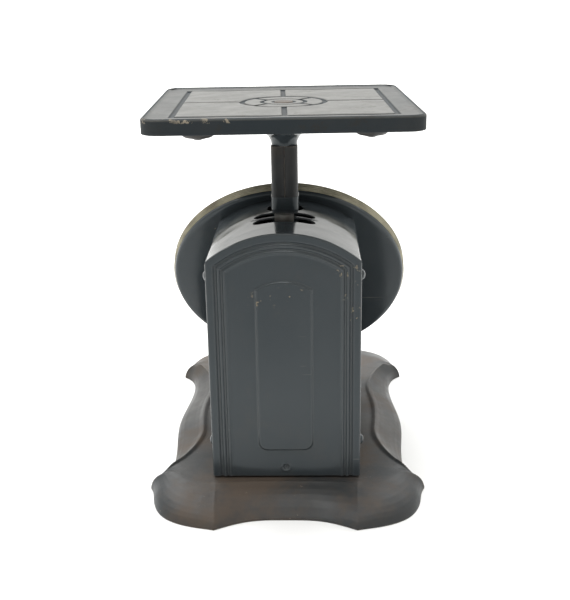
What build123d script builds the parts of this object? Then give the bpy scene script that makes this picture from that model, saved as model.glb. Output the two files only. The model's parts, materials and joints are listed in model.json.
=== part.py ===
from build123d import *
from math import atan2, cos, degrees, hypot, pi, radians, sin, sqrt, tan
import os

# Antique slanted-dial family spring scale, in millimetres.
# +Z is up, the dial faces -Y and the origin is at the middle of the base, on the table.

# ---- base: one pressed sheet with an ogee skirt and scalloped edges
BASE_LENGTH = 263.0
BASE_WIDTH = 164.0
BASE_HEIGHT = 14.0
BASE_SHEET = 1.6
SIDE_BULGE_INSET = 6.7
WAIST_INSET = 10.4
WAIST_FROM_END = 81.0
CUSP_FROM_END = 46.5
BUMP_X = 40.0
END_INSET = 10.6
SKIRT_SIDE = 18.3
SKIRT_END = 16.2
SKIRT_CORNER = 13.0
LIP_HEIGHT = 1.4
# Points of each corner lobe: distance in from the side and from the end, then the shares of the
# corner skirt's width by which the point moves in along X and Y.
LOBE_POINTS = ((4.2, 30.0, 1.0, 0.2), (13.0, 12.5, 0.8, 0.8), (31.0, 2.9, 0.3, 1.0))
CUSP_DRAW = 1.4
BUMP_DRAW = (0.3, 1.1)
END_SWEEP = 1.4
# Share of the way up the skirt and height, for its upper surface and for its hollow underside.
SKIRT_TOP = ((0, 0), (0, LIP_HEIGHT), (0.25, 2.7), (0.55, 7.6), (0.8, 12.4), (1, BASE_HEIGHT))
UNDER_Z = BASE_HEIGHT - BASE_SHEET
SKIRT_UNDER = ((0.07, -1.0), (0.08, 0.3), (0.32, 1.4), (0.6, 6.0), (0.85, 10.9), (1.05, UNDER_Z))

# ---- housing
HOUSING_WIDTH = 86.0
SHEET = 0.9
CROWN_Z = 160.3
SHOULDER_DROP = 15.9
SHOULDER_RADIUS = 3.0
LEAST_SHOULDER_RADIUS = 0.8
BACK_Y = 94.7
PRESSING = 0.7
PANEL_FLANGE = 6.0
FRAME_BEADS = ((6.0, 8.0), (9.5, 11.5))
PANEL_WIDTH = 31.0
PANEL_BOTTOM_Z = 31.0
PANEL_TOP_Z = 133.0
PANEL_RISE = 4.5
PANEL_CORNER = 5.0
DRAIN_HOLE_RADIUS = 1.5
DRAIN_HOLE_Z = 19.6
TAB_WIDTH = 10.0
TAB_TURN = 6.0
TAB_PLACES = (-32.0, 66.0)
TAB_CLEARANCE = 0.1

# ---- roof openings
STEM_Y = 31.0
STEM_HOLE_GAP = 3.1
SLOT_LENGTH = 36.0
SLOT_WIDTH = 11.0
SLOT_GAP = 2.0
FIRST_SLOT_FROM_STEM = 17.9

# ---- dial, tilted back from the vertical
DIAL_TILT = 29.4
DIAL_CENTRE_Z = 97.4
FOOT_FRONT_Y = -74.0
DISH_RADIUS = 77.0
DISH_DEPTH = 7.0
DISH_EDGE = 2.0
BEZEL_START = 2.6
BEZEL_FRONT = 10.2
BEZEL_SHEET = 0.5
BEZEL_BEADS = 4
BEAD_RADIUS = 0.5
BEZEL_OPENING_RADIUS = 71.0
DIAL_FACE_STANDOFF = 3.4
DIAL_FACE_SHEET = 0.6
GLASS_THICKNESS = 1.8
GLASS_GAP = 0.2
DIAL_RIVET_X = 30.0
DIAL_RIVET_Y = 25.0

# ---- weighing travel and pointer train
CAPACITY_TRAVEL = 24.0
PINION_TEETH = 15
PINION_DEPTH = 30.0
PINION_WIDTH = 7.0
TOOTH_ADDENDUM = 0.33
TOOTH_DEDENDUM = 0.45
TOOTH_BACKLASH = 0.16
TOOTH_FLANK = 0.17
SHAFT_RADIUS = 1.5
SHAFT_BACK = 42.0
SHAFT_CLEARANCE = 0.05
POINTER_FRONT = 6.0
POINTER_SHEET = 0.6
POINTER_LENGTH = 62.0
POINTER_TAIL = 18.0
POINTER_HUB_RADIUS = 4.5
POINTER_WIDTH = 5.0
POINTER_TIP_WIDTH = 1.0
POINTER_TAIL_SHARE = 0.6
CAP_HEIGHT = 1.2
BRACKET_FRONT = 21.0
BRACKET_BACK = 38.0
BRACKET_SHEET = 1.0
BRACKET_HALF_WIDTH = 14.0
BRACKET_HEIGHT = 10.0
BRACKET_FOOT = 8.0
BUSH_RADIUS = 2.6
BUSH_FLANGE = 3.4
BUSH_LENGTH = 2.6
RACK_BODY = 3.0
RACK_HALF_DEPTH = 3.0
RACK_BELOW = 6.0
RACK_ABOVE = 36.0
RACK_GUIDE_RADIUS = 1.5
RACK_RIVET_STEP = 1.4
RACK_RIVET_SLOPE = 0.4
SLIDE_GAP = 0.3
ARM_SHEET = 2.2
ARM_HEIGHT = 8.0
ARM_LIFT = 29.0
ARM_RIVET_SHARES = (0.27, 0.73)

# ---- carriage
STEM_SIZE = 15.8
STEM_CORNER = 4.0
FLUTE_RADIUS = 1.7
FLUTE_STANDOFF = 0.6
STEM_RIVET_DROP = 3.0
STEM_BOTTOM_Z = 139.0
STEM_TOP_Z = 198.0
FLUTE_BOTTOM_Z = 168.0
FERRULE_BOTTOM_Z = 150.0
FERRULE_WALL = 0.3
COLLAR_TOP_RADIUS = 13.5
COLLAR_BOTTOM_RADIUS = 7.6
COLLAR_HEIGHT = 8.0
COLLAR_WAIST = (0.3, 0.62)
BAR_WIDTH = 10.0
BAR_DEPTH = 5.0
BAR_BOTTOM_Z = 40.0
BAR_SOCKET = 13.0
CROSSBAR_HALF_LENGTH = 24.0
CROSSBAR_HEIGHT = 9.0
CROSSBAR_SHEET = 1.6
CROSSBAR_Z = 49.0
CROSSBAR_RIVET_HEAD = 1.6
SPRING_X = 20.5

# ---- check links
CHECK_ROD_Y = 81.0
UPPER_ROD_Z = 133.0
LOWER_ROD_Z = 31.0
ROD_RADIUS = 1.5
ROD_HEAD_RADIUS = 3.0
ROD_HEAD_HEIGHT = 2.6
LINK_HUB_RADIUS = 3.0
LINK_HALF_HEIGHT = 2.5
LINK_EYE_RADIUS = 2.9
LINK_SHEET = 1.4
LINK_SIDE_GAP = 0.5
LINK_PIN_RADIUS = 1.2
LINK_SLOT_CLEARANCE = 0.15

# ---- springs and their hanger
HANGER_Z = 150.0
HANGER_SHEET = 1.2
HANGER_HALF_WIDTH = 26.0
HANGER_FRONT_Y = 11.0
HOOK_HALF_WIDTH = 5.5
HOOK_GAP = 0.2
HOOK_SET_BACK = 1.0
HOOK_NOSE = 2.0
COIL_RADIUS = 4.9
WIRE = 1.2
COIL_MARGIN = 9.0
ZERO_SCREW_Y = 15.5
ZERO_SCREW_RADIUS = 1.5
ZERO_HEAD_RADIUS = 3.0
ZERO_HEAD_HEIGHT = 2.4
ZERO_HEAD_ROUND = 0.6
ZERO_SCREW_LENGTH = 15.0
ZERO_HEAD_GAP = 0.06
SCREW_CLEARANCE = 0.1
SCREW_SLOT = 0.8

# ---- platform
PLATFORM_SIZE = 148.6
PLATFORM_TOP_Z = 224.0
PLATFORM_SHEET = 1.2
PLATFORM_CORNER = 10.0
PLATFORM_LIP = 8.6
PLATFORM_EDGE_ROUND = 1.0
PLATFORM_TWIST = 2.0
RIM_WIDTH = 3.0
RIM_RISE = 1.0
BORDER_WIDTH = 13.0
GROOVE_WIDTH = 3.6
GROOVE_DEPTH = 0.5
RING_RADIUS = 24.0
INNER_RING_RADIUS = 12.6
CENTRE_RADIUS = 7.0
CENTRE_DROP = 1.0
PAD_X = 45.5
PAD_Y = 61.8
PAD_RADIUS = 9.0
PAD_BOTTOM_Z = 212.7
PAD_ROUND = 3.0
PAD_STEP = 1.0
SPIDER_ARM_WIDTH = 8.0
SPIDER_HUB_RADIUS = 12.0
SPIDER_GAP = 1.3
SPIDER_RECESS_GAP = 1.0
CENTRE_SCREW_RADIUS = 3.0
CENTRE_HEAD_RADIUS = 5.5
CENTRE_HEAD_HEIGHT = 1.2
CENTRE_SCREW_DEPTH = 12.0

RIVET_RADIUS = 1.0
RIVET_HEAD_RADIUS = 1.9
RIVET_HEAD_HEIGHT = 0.8
SMALL_HEAD_RADIUS = 1.33
RIVET_ROUND_SHARE = 0.6
SCREW_ROUND_SHARE = 0.7
FAR = 400.0

# ---- places worked out from the sizes above
TILT = radians(DIAL_TILT)
HALF_HOUSING = HOUSING_WIDTH / 2
SHELL_BACK_Y = BACK_Y - SHEET
DIAL_CENTRE_Y = FOOT_FRONT_Y + (DIAL_CENTRE_Z - BASE_HEIGHT) * tan(TILT)
DIAL_PLANE = Plane((0, DIAL_CENTRE_Y, DIAL_CENTRE_Z), x_dir=(1, 0, 0), z_dir=(0, -cos(TILT), sin(TILT)))
ARCH_RADIUS = (HALF_HOUSING**2 + SHOULDER_DROP**2) / (2 * SHOULDER_DROP)
PITCH_RADIUS = CAPACITY_TRAVEL * cos(TILT) / (2 * pi)
TOOTH_PITCH = 2 * pi * PITCH_RADIUS / PINION_TEETH
TOOTH_THICKNESS = (TOOTH_PITCH - TOOTH_BACKLASH) / 2
PINION_Y = DIAL_CENTRE_Y + PINION_DEPTH * cos(TILT)
PINION_Z = DIAL_CENTRE_Z - PINION_DEPTH * sin(TILT)
RACK_BACK_X = PITCH_RADIUS + TOOTH_DEDENDUM + RACK_BODY
ARM_Z = PINION_Z + ARM_LIFT
BAR_FRONT_Y = STEM_Y - BAR_DEPTH / 2
BAR_BACK_Y = STEM_Y + BAR_DEPTH / 2
STEM_RIVET_Z = STEM_BOTTOM_Z + BAR_SOCKET - STEM_RIVET_DROP
COLLAR_TOP_Z = STEM_TOP_Z + COLLAR_HEIGHT
FIELD_Z = PLATFORM_TOP_Z - RIM_RISE
PLATFORM_UNDER_Z = FIELD_Z - PLATFORM_SHEET
CENTRE_UNDER_Z = PLATFORM_UNDER_Z - CENTRE_DROP
HALF_SWING = CAPACITY_TRAVEL / 2
LINK_REACH = CHECK_ROD_Y - STEM_Y
LINK_REACH_END = hypot(LINK_REACH, HALF_SWING)
LINK_X = STEM_SIZE / 2 + LINK_SIDE_GAP
SLOT_Y = tuple(
    STEM_Y + FIRST_SLOT_FROM_STEM + index * (SLOT_WIDTH + SLOT_GAP) for index in range(2)
)


def block(x, y, z):
    """A box between low and high limits given as pairs."""
    size = (x[1] - x[0], y[1] - y[0], z[1] - z[0])
    middle = ((x[0] + x[1]) / 2, (y[0] + y[1]) / 2, (z[0] + z[1]) / 2)
    return Pos(*middle) * Box(*size)


def post(radius, low, high):
    """A cylinder about Z between two heights."""
    return Pos(0, 0, (low + high) / 2) * Cylinder(radius, high - low)


def along_x(shape):
    return Rot(0, 90, 0) * shape


def along_y(shape):
    return Rot(-90, 0, 0) * shape


def rivet(grip, radius=RIVET_RADIUS, head=RIVET_HEAD_RADIUS, height=RIVET_HEAD_HEIGHT):
    """A rivet about Z whose shank fills z = 0 to grip, with a domed head on each end."""
    dome = post(head, 0, height)
    dome = fillet(dome.edges().group_by(Axis.Z)[-1], height * RIVET_ROUND_SHARE)
    heads = Pos(0, 0, grip) * dome + mirror(dome, about=Plane.XY)
    return post(radius, 0, grip) + heads


# ---------------------------------------------------------------- base
def base_quarter(skirt_x, skirt_corner, skirt_y):
    """One quarter of the scalloped outline, drawn in by the widths of the skirt."""
    x = BASE_WIDTH / 2
    y = BASE_LENGTH / 2
    middle = (x - SIDE_BULGE_INSET - skirt_x, 0)
    waist = (x - WAIST_INSET - skirt_x, y - WAIST_FROM_END)
    cusp = (x - CUSP_DRAW * skirt_corner, y - CUSP_FROM_END)
    lobe = [
        (x - side - draw_x * skirt_corner, y - end - draw_y * skirt_corner)
        for side, end, draw_x, draw_y in LOBE_POINTS
    ]
    bump = (BUMP_X - BUMP_DRAW[0] * skirt_corner, y - BUMP_DRAW[1] * skirt_corner)
    end_side = (BUMP_X / 2, y - END_INSET + END_SWEEP - skirt_y)
    end = (0, y - END_INSET - skirt_y)
    return (
        Spline(middle, waist, cusp, tangents=[(0, 1), (0.85, 0.6)])
        + Spline(cusp, *lobe, bump, tangents=[(-0.5, 0.9), (-0.95, 0.3)])
        + Spline(bump, end_side, end, tangents=[(-0.85, -0.5), (-1, 0)])
    )


def base_section(share, z):
    """The outline a share of the way up the skirt, from 0 at its foot to 1 at the flat top."""
    quarter = base_quarter(share * SKIRT_SIDE, share * SKIRT_CORNER, share * SKIRT_END)
    half = quarter + mirror(quarter, about=Plane.XZ)
    return Pos(0, 0, z) * make_face(half + mirror(half, about=Plane.YZ))


def base():
    """The pressed sheet with its hollow underside and the slots for the housing's tabs."""
    solid = loft([base_section(share, z) for share, z in SKIRT_TOP], ruled=True)
    solid -= loft([base_section(share, z) for share, z in SKIRT_UNDER], ruled=True)
    for y in TAB_PLACES:
        for side in (-1, 1):
            x = side * (HALF_HOUSING - SHEET / 2)
            slot = Box(SHEET + 2 * TAB_CLEARANCE, TAB_WIDTH + 2 * TAB_CLEARANCE, 2 * BASE_HEIGHT)
            solid -= Pos(x, y, BASE_HEIGHT) * slot
    return solid


# ---------------------------------------------------------------- housing
def arch_face(inset, bottom):
    """The arched section of the housing, moved in by inset, with its foot at height bottom."""
    half = HALF_HOUSING - inset
    radius = ARCH_RADIUS - inset
    centre_z = CROWN_Z - ARCH_RADIUS
    shoulder = centre_z + sqrt(radius**2 - half**2)
    outline = Polyline((-half, shoulder), (-half, bottom), (half, bottom), (half, shoulder))
    outline += ThreePointArc((half, shoulder), (0, centre_z + radius), (-half, shoulder))
    face = make_face(outline)
    shoulders = face.vertices().sort_by(Axis.Y)[-2:]
    return fillet(shoulders, max(SHOULDER_RADIUS - inset, LEAST_SHOULDER_RADIUS))


def arch_prism(inset, bottom, y_low, y_high):
    """The arched section as a solid that runs from y_low to y_high."""
    plane = Plane((0, y_high, 0), x_dir=(1, 0, 0), z_dir=(0, -1, 0))
    return extrude(plane * arch_face(inset, bottom), y_high - y_low)


def in_front_of_dial_plane():
    return DIAL_PLANE * Pos(0, 0, FAR / 2) * Box(FAR, FAR, FAR)


def shell_tab(side, y):
    """A tongue of the side wall that passes through the base and is turned in under it."""
    low = BASE_HEIGHT - BASE_SHEET - SHEET
    x = sorted((side * HALF_HOUSING, side * (HALF_HOUSING - SHEET)))
    turned = sorted((side * HALF_HOUSING, side * (HALF_HOUSING - TAB_TURN)))
    width = (y - TAB_WIDTH / 2, y + TAB_WIDTH / 2)
    return block(x, width, (low, BASE_HEIGHT)) + block(turned, width, (low, low + SHEET))


def housing_shell():
    shell = arch_prism(0, BASE_HEIGHT, FOOT_FRONT_Y - 1, SHELL_BACK_Y)
    shell -= arch_prism(SHEET, 0, FOOT_FRONT_Y - 2, SHELL_BACK_Y + 1)
    shell -= in_front_of_dial_plane()
    shell -= Pos(0, STEM_Y, CROWN_Z) * Cylinder(STEM_SIZE / 2 + STEM_HOLE_GAP, CROWN_Z / 4)
    for y in SLOT_Y:
        slot = extrude(SlotOverall(SLOT_LENGTH, SLOT_WIDTH), CROWN_Z / 8, both=True)
        shell -= Pos(0, y, CROWN_Z) * slot
    shell -= Pos(0, ZERO_SCREW_Y, CROWN_Z) * Cylinder(ZERO_SCREW_RADIUS + SCREW_CLEARANCE, 10)
    for z in (UPPER_ROD_Z, LOWER_ROD_Z):
        shell -= Pos(0, CHECK_ROD_Y, z) * along_x(Cylinder(ROD_RADIUS, 2 * HOUSING_WIDTH))
    for y in TAB_PLACES:
        for side in (-1, 1):
            shell += shell_tab(side, y)
    return shell


def centre_panel():
    """The raised arched panel in the middle of the back."""
    half = PANEL_WIDTH / 2
    shoulder = PANEL_TOP_Z - PANEL_RISE
    outline = Polyline((-half, shoulder), (-half, PANEL_BOTTOM_Z), (half, PANEL_BOTTOM_Z), (half, shoulder))
    outline += ThreePointArc((half, shoulder), (0, PANEL_TOP_Z), (-half, shoulder))
    face = make_face(outline)
    face = fillet(face.vertices().sort_by(Axis.Y)[:2], PANEL_CORNER)
    plane = Plane((0, BACK_Y + PRESSING, 0), x_dir=(1, 0, 0), z_dir=(0, -1, 0))
    return extrude(plane * face, PRESSING)


def back_panel():
    panel = arch_prism(0, BASE_HEIGHT, SHELL_BACK_Y, BACK_Y)
    flange = arch_prism(SHEET, BASE_HEIGHT, SHELL_BACK_Y - PANEL_FLANGE, SHELL_BACK_Y)
    flange -= arch_prism(2 * SHEET, 0, SHELL_BACK_Y - PANEL_FLANGE - 1, SHELL_BACK_Y + 1)
    panel += flange
    for outer, inner in FRAME_BEADS:
        bead = arch_prism(outer, 0, BACK_Y, BACK_Y + PRESSING)
        bead -= arch_prism(inner, -1, BACK_Y - 1, BACK_Y + 2 * PRESSING)
        panel += bead & block((-FAR, FAR), (0, FAR), (BASE_HEIGHT, FAR))
    panel += centre_panel()
    hole = Pos(0, BACK_Y, DRAIN_HOLE_Z) * along_y(Cylinder(DRAIN_HOLE_RADIUS, 4))
    return panel - hole


def front_plate():
    """The slanted plate that closes the housing behind the dial and carries the movement."""
    slab = DIAL_PLANE * Pos(0, 0, -SHEET / 2) * Box(FAR, FAR, SHEET)
    plate = slab & arch_prism(SHEET, BASE_HEIGHT, -FAR / 2, FAR / 2)
    plate -= DIAL_PLANE * Cylinder(BUSH_RADIUS, 4 * SHEET)
    for place in dial_rivet_places():
        plate -= DIAL_PLANE * place * Cylinder(RIVET_RADIUS, 4 * SHEET)
    for place in bracket_rivet_places():
        plate -= DIAL_PLANE * place * Cylinder(RIVET_RADIUS, 6 * SHEET)
    return plate


# ---------------------------------------------------------------- dial
def dial_rivet_places():
    return [Pos(x, y, 0) for x in (-DIAL_RIVET_X, DIAL_RIVET_X) for y in (-DIAL_RIVET_Y, DIAL_RIVET_Y)]


def bracket_rivet_places():
    x = BRACKET_HALF_WIDTH + BRACKET_FOOT / 2
    return [Pos(side * x, 0, 0) for side in (-1, 1)]


def dial_dish():
    """The black back dish of the dial with its shallow rim."""
    outside = post(DISH_RADIUS, 0, DISH_DEPTH)
    outside = fillet(outside.edges().group_by(Axis.Z)[0], DISH_EDGE)
    inside = post(DISH_RADIUS - SHEET, SHEET, DISH_DEPTH + 1)
    inside = fillet(inside.edges().group_by(Axis.Z)[0], DISH_EDGE - SHEET)
    dish = outside - inside - Cylinder(BUSH_RADIUS, 4 * SHEET)
    for place in dial_rivet_places():
        dish -= place * Cylinder(RIVET_RADIUS, 4 * SHEET)
    for place in bracket_rivet_places():
        dish -= place * Cylinder(RIVET_RADIUS, 4 * SHEET)
    return DIAL_PLANE * dish


def bezel():
    """The brass ring that wraps the dish and holds the glass, beaded round its edge."""
    wall = DISH_RADIUS + BEZEL_SHEET
    ring = post(wall, BEZEL_START, BEZEL_FRONT)
    spacing = (BEZEL_FRONT - BEZEL_START - 2 * BEAD_RADIUS) / (BEZEL_BEADS - 1)
    for index in range(BEZEL_BEADS):
        ring += Pos(0, 0, BEZEL_START + BEAD_RADIUS + index * spacing) * Torus(wall, BEAD_RADIUS)
    ring -= post(DISH_RADIUS, BEZEL_START - 1, BEZEL_FRONT - BEZEL_SHEET)
    ring -= post(BEZEL_OPENING_RADIUS, 0, BEZEL_FRONT + 1)
    return DIAL_PLANE * ring


def glass_back():
    return BEZEL_FRONT - BEZEL_SHEET - GLASS_THICKNESS


def dial_glass():
    front = BEZEL_FRONT - BEZEL_SHEET
    return DIAL_PLANE * post(DISH_RADIUS - GLASS_GAP, glass_back(), front)


def glass_seat_ring():
    """The spacer ring between the dial face and the glass."""
    outer = DISH_RADIUS - SHEET
    ring = post(outer, DIAL_FACE_STANDOFF + DIAL_FACE_SHEET, glass_back())
    return DIAL_PLANE * (ring - post(outer - SHEET, 0, BEZEL_FRONT))


def dial_face():
    low = DIAL_FACE_STANDOFF
    face = post(DISH_RADIUS - SHEET, low, low + DIAL_FACE_SHEET)
    face -= Cylinder(SHAFT_RADIUS + 1, 20)
    for place in dial_rivet_places():
        face -= place * Cylinder(RIVET_RADIUS, 20)
    return DIAL_PLANE * face


def dial_rivets():
    """Four shouldered rivets that join front plate, dish and dial face."""
    grip = SHEET + DIAL_FACE_STANDOFF + DIAL_FACE_SHEET
    one = Pos(0, 0, -SHEET) * rivet(grip) + post(RIVET_HEAD_RADIUS, SHEET, DIAL_FACE_STANDOFF)
    return DIAL_PLANE * Compound(children=[place * one for place in dial_rivet_places()])


# ---------------------------------------------------------------- pointer train
def movement_bracket():
    """A bent frame behind the dial with two cross plates that carry the shaft."""
    half = BRACKET_HALF_WIDTH
    tall = (-BRACKET_HEIGHT / 2, BRACKET_HEIGHT / 2)
    back = -BRACKET_BACK - BRACKET_SHEET
    front = -BRACKET_FRONT
    frame = block((-half, half), tall, (back, back + BRACKET_SHEET))
    frame += block((-half, half), tall, (front - BRACKET_SHEET, front))
    for side in (-1, 1):
        wall = sorted((side * half, side * (half - BRACKET_SHEET)))
        foot = sorted((side * (half - BRACKET_SHEET), side * (half + BRACKET_FOOT)))
        frame += block(wall, tall, (back, -SHEET))
        frame += block(foot, tall, (-SHEET - BRACKET_SHEET, -SHEET))
    frame -= post(BUSH_RADIUS, back - 1, front + 1)
    guide_x = RACK_BACK_X + SLIDE_GAP + RACK_GUIDE_RADIUS
    frame -= Pos(guide_x, 0, 0) * post(RACK_GUIDE_RADIUS, back - 1, front + 1)
    for place in bracket_rivet_places():
        frame -= place * Cylinder(RIVET_RADIUS, 10)
    return DIAL_PLANE * frame


def bracket_rivets():
    one = Pos(0, 0, -SHEET - BRACKET_SHEET) * rivet(2 * SHEET + BRACKET_SHEET)
    return DIAL_PLANE * Compound(children=[place * one for place in bracket_rivet_places()])


def bush(plate_front):
    """A flanged brass bush in a bracket plate whose front face is at local height plate_front."""
    low = plate_front - BRACKET_SHEET
    body = post(BUSH_RADIUS, low - (BUSH_LENGTH - BRACKET_SHEET) / 2, plate_front)
    body += post(BUSH_FLANGE, plate_front, plate_front + (BUSH_LENGTH - BRACKET_SHEET) / 2)
    return DIAL_PLANE * (body - post(SHAFT_RADIUS + SHAFT_CLEARANCE, -FAR, FAR))


def rack_guide_pin():
    x = RACK_BACK_X + SLIDE_GAP + RACK_GUIDE_RADIUS
    back = -BRACKET_BACK - BRACKET_SHEET
    return DIAL_PLANE * Pos(x, 0, 0) * post(RACK_GUIDE_RADIUS, back, -BRACKET_FRONT)


def pointer_shaft():
    return DIAL_PLANE * post(SHAFT_RADIUS, -SHAFT_BACK, POINTER_FRONT)


def pinion():
    """The brass pinion: stub teeth, with one gap's middle on the +X side."""
    root = PITCH_RADIUS - TOOTH_DEDENDUM
    tip = PITCH_RADIUS + TOOTH_ADDENDUM
    wide = TOOTH_THICKNESS / 2 + TOOTH_FLANK
    narrow = TOOTH_THICKNESS / 2 - TOOTH_FLANK
    flank = ((0, wide), (root, wide), (tip, narrow))
    other_flank = [(x, -y) for x, y in reversed(flank)]
    tooth = make_face(Polyline(*flank, *other_flank, close=True))
    outline = Circle(root)
    for index in range(PINION_TEETH):
        outline += Rot(0, 0, (index + 0.5) * 360 / PINION_TEETH) * tooth
    outline -= Circle(SHAFT_RADIUS)
    gear = extrude(outline, PINION_WIDTH)
    return DIAL_PLANE * Pos(0, 0, -PINION_DEPTH - PINION_WIDTH / 2) * gear


def pointer_hand():
    """A tapered hand with a round hub and a spade tail, standing at zero."""
    half = POINTER_WIDTH / 2
    tip = POINTER_TIP_WIDTH / 2
    tail = half * POINTER_TAIL_SHARE
    blade = make_face(
        Polyline((-half, 0), (-tip, POINTER_LENGTH), (tip, POINTER_LENGTH), (half, 0),
                 (tail, -POINTER_TAIL), (-tail, -POINTER_TAIL), close=True)
    )
    hand = blade + Circle(POINTER_HUB_RADIUS) + Pos(0, -POINTER_TAIL) * Circle(POINTER_HUB_RADIUS)
    hand -= Circle(SHAFT_RADIUS)
    return DIAL_PLANE * Pos(0, 0, POINTER_FRONT - POINTER_SHEET) * extrude(hand, POINTER_SHEET)


def pointer_cap():
    cap = post(POINTER_HUB_RADIUS - 1, POINTER_FRONT, POINTER_FRONT + CAP_HEIGHT)
    cap = fillet(cap.edges().group_by(Axis.Z)[-1], CAP_HEIGHT * SCREW_ROUND_SHARE)
    return DIAL_PLANE * cap


# ---------------------------------------------------------------- rack and carriage
def rack():
    """A vertical rack whose teeth run parallel to the tilted pinion shaft."""
    pitch = TOOTH_PITCH / cos(TILT)
    wide = (TOOTH_THICKNESS / 2 + TOOTH_FLANK) / cos(TILT)
    narrow = (TOOTH_THICKNESS / 2 - TOOTH_FLANK) / cos(TILT)
    tip = PITCH_RADIUS - TOOTH_ADDENDUM
    root = PITCH_RADIUS + TOOTH_DEDENDUM
    points = [(RACK_BACK_X, PINION_Z - RACK_BELOW), (root, PINION_Z - RACK_BELOW)]
    first = -int((RACK_BELOW - wide) / pitch)
    last = int((RACK_ABOVE - wide) / pitch)
    for index in range(first, last + 1):
        z = PINION_Z + index * pitch
        points += [(root, z - wide), (tip, z - narrow), (tip, z + narrow), (root, z + wide)]
    points += [(root, PINION_Z + RACK_ABOVE), (RACK_BACK_X, PINION_Z + RACK_ABOVE)]
    plane = Plane((0, 0, 0), x_dir=(1, 0, 0), z_dir=(0, -1, 0))
    face = Pos(0, PINION_Y, 0) * (plane * make_face(Polyline(*points, close=True)))
    slant = Vector(0, -cos(TILT), sin(TILT))
    half = RACK_HALF_DEPTH / cos(TILT)
    body = Pos(slant * -half) * extrude(face, amount=2 * half, dir=slant)
    for place in rack_rivet_places():
        body -= place * along_x(Cylinder(RIVET_RADIUS, 40))
    return body


def rack_rivet_places():
    z = ARM_Z + ARM_HEIGHT / 2
    return [Pos(0, PINION_Y + y, z - y * RACK_RIVET_SLOPE) for y in (-RACK_RIVET_STEP, RACK_RIVET_STEP)]


def arm_rivet_places():
    x = -BAR_WIDTH / 4
    return [Pos(x, 0, ARM_Z + ARM_HEIGHT * share) for share in ARM_RIVET_SHARES]


def rack_arm():
    """The bent arm that carries the rack on the front of the carriage bar."""
    tall = (ARM_Z, ARM_Z + ARM_HEIGHT)
    outer = RACK_BACK_X + ARM_SHEET
    arm = block((RACK_BACK_X, outer), (PINION_Y - RACK_HALF_DEPTH, BAR_FRONT_Y), tall)
    arm += block((-BAR_WIDTH / 2, outer), (BAR_FRONT_Y - ARM_SHEET, BAR_FRONT_Y), tall)
    for place in rack_rivet_places():
        arm -= place * along_x(Cylinder(RIVET_RADIUS, 40))
    for place in arm_rivet_places():
        arm -= place * Pos(0, STEM_Y, 0) * along_y(Cylinder(RIVET_RADIUS, 40))
    return arm


def rack_rivets():
    """Two rivets through the arm and rack, and two through the arm and bar."""
    root = PITCH_RADIUS + TOOTH_DEDENDUM
    grip = RACK_BACK_X + ARM_SHEET - root
    through_rack = post(RIVET_RADIUS, 0, grip) + post(SMALL_HEAD_RADIUS, grip, grip + RIVET_HEAD_HEIGHT)
    solids = [place * Pos(root, 0, 0) * along_x(through_rack) for place in rack_rivet_places()]
    start = BAR_FRONT_Y - ARM_SHEET
    through_bar = along_y(rivet(ARM_SHEET + BAR_DEPTH))
    solids += [place * Pos(0, start, 0) * through_bar for place in arm_rivet_places()]
    return Compound(children=solids)


def rounded_square(size, corner):
    return RectangleRounded(size, size, corner)


def stem():
    """The fluted post: a rounded square with one flute down each face, plain below."""
    section = rounded_square(STEM_SIZE, STEM_CORNER)
    post_solid = Pos(0, 0, STEM_BOTTOM_Z) * extrude(section, STEM_TOP_Z - STEM_BOTTOM_Z)
    for index in range(4):
        flute = Pos(STEM_SIZE / 2 + FLUTE_STANDOFF, 0, 0) * post(FLUTE_RADIUS, FLUTE_BOTTOM_Z, STEM_TOP_Z + 1)
        post_solid -= Rot(0, 0, 90 * index) * flute
    socket_top = STEM_BOTTOM_Z + BAR_SOCKET
    half = BAR_WIDTH / 2
    deep = BAR_DEPTH / 2
    post_solid -= block((-half, half), (-deep, deep), (STEM_BOTTOM_Z - 1, socket_top))
    post_solid -= post(CENTRE_SCREW_RADIUS, STEM_TOP_Z - CENTRE_SCREW_DEPTH, STEM_TOP_Z + 1)
    post_solid = Pos(0, STEM_Y, 0) * post_solid
    post_solid -= Pos(0, STEM_Y, UPPER_ROD_Z + HALF_SWING) * along_x(Cylinder(LINK_PIN_RADIUS, 40))
    return post_solid - stem_rivet_hole()


def stem_rivet_hole():
    return Pos(0, STEM_Y, STEM_RIVET_Z) * along_y(Cylinder(RIVET_RADIUS, 40))


def stem_rivet():
    return Pos(0, STEM_Y - STEM_SIZE / 2, STEM_RIVET_Z) * along_y(post(RIVET_RADIUS, 0, STEM_SIZE))


def stem_ferrule():
    """The thin sleeve round the plain lower part of the post, where it enters the roof."""
    outer = rounded_square(STEM_SIZE + 2 * FERRULE_WALL, STEM_CORNER + FERRULE_WALL)
    ring = extrude(outer - rounded_square(STEM_SIZE, STEM_CORNER), FLUTE_BOTTOM_Z - FERRULE_BOTTOM_Z)
    return Pos(0, STEM_Y, FERRULE_BOTTOM_Z) * ring


def stem_collar():
    """The trumpet-shaped collar between the post and the platform spider."""
    flare = COLLAR_TOP_RADIUS - COLLAR_BOTTOM_RADIUS
    low = (COLLAR_BOTTOM_RADIUS, 0)
    high = (COLLAR_TOP_RADIUS, COLLAR_HEIGHT)
    middle = (COLLAR_BOTTOM_RADIUS + COLLAR_WAIST[0] * flare, COLLAR_WAIST[1] * COLLAR_HEIGHT)
    outline = Polyline(high, (0, COLLAR_HEIGHT), (0, 0), low) + ThreePointArc(low, middle, high)
    body = revolve(Plane.XZ * make_face(outline), Axis.Z)
    body -= Cylinder(CENTRE_SCREW_RADIUS, 4 * COLLAR_HEIGHT)
    return Pos(0, STEM_Y, STEM_TOP_Z) * body


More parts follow.
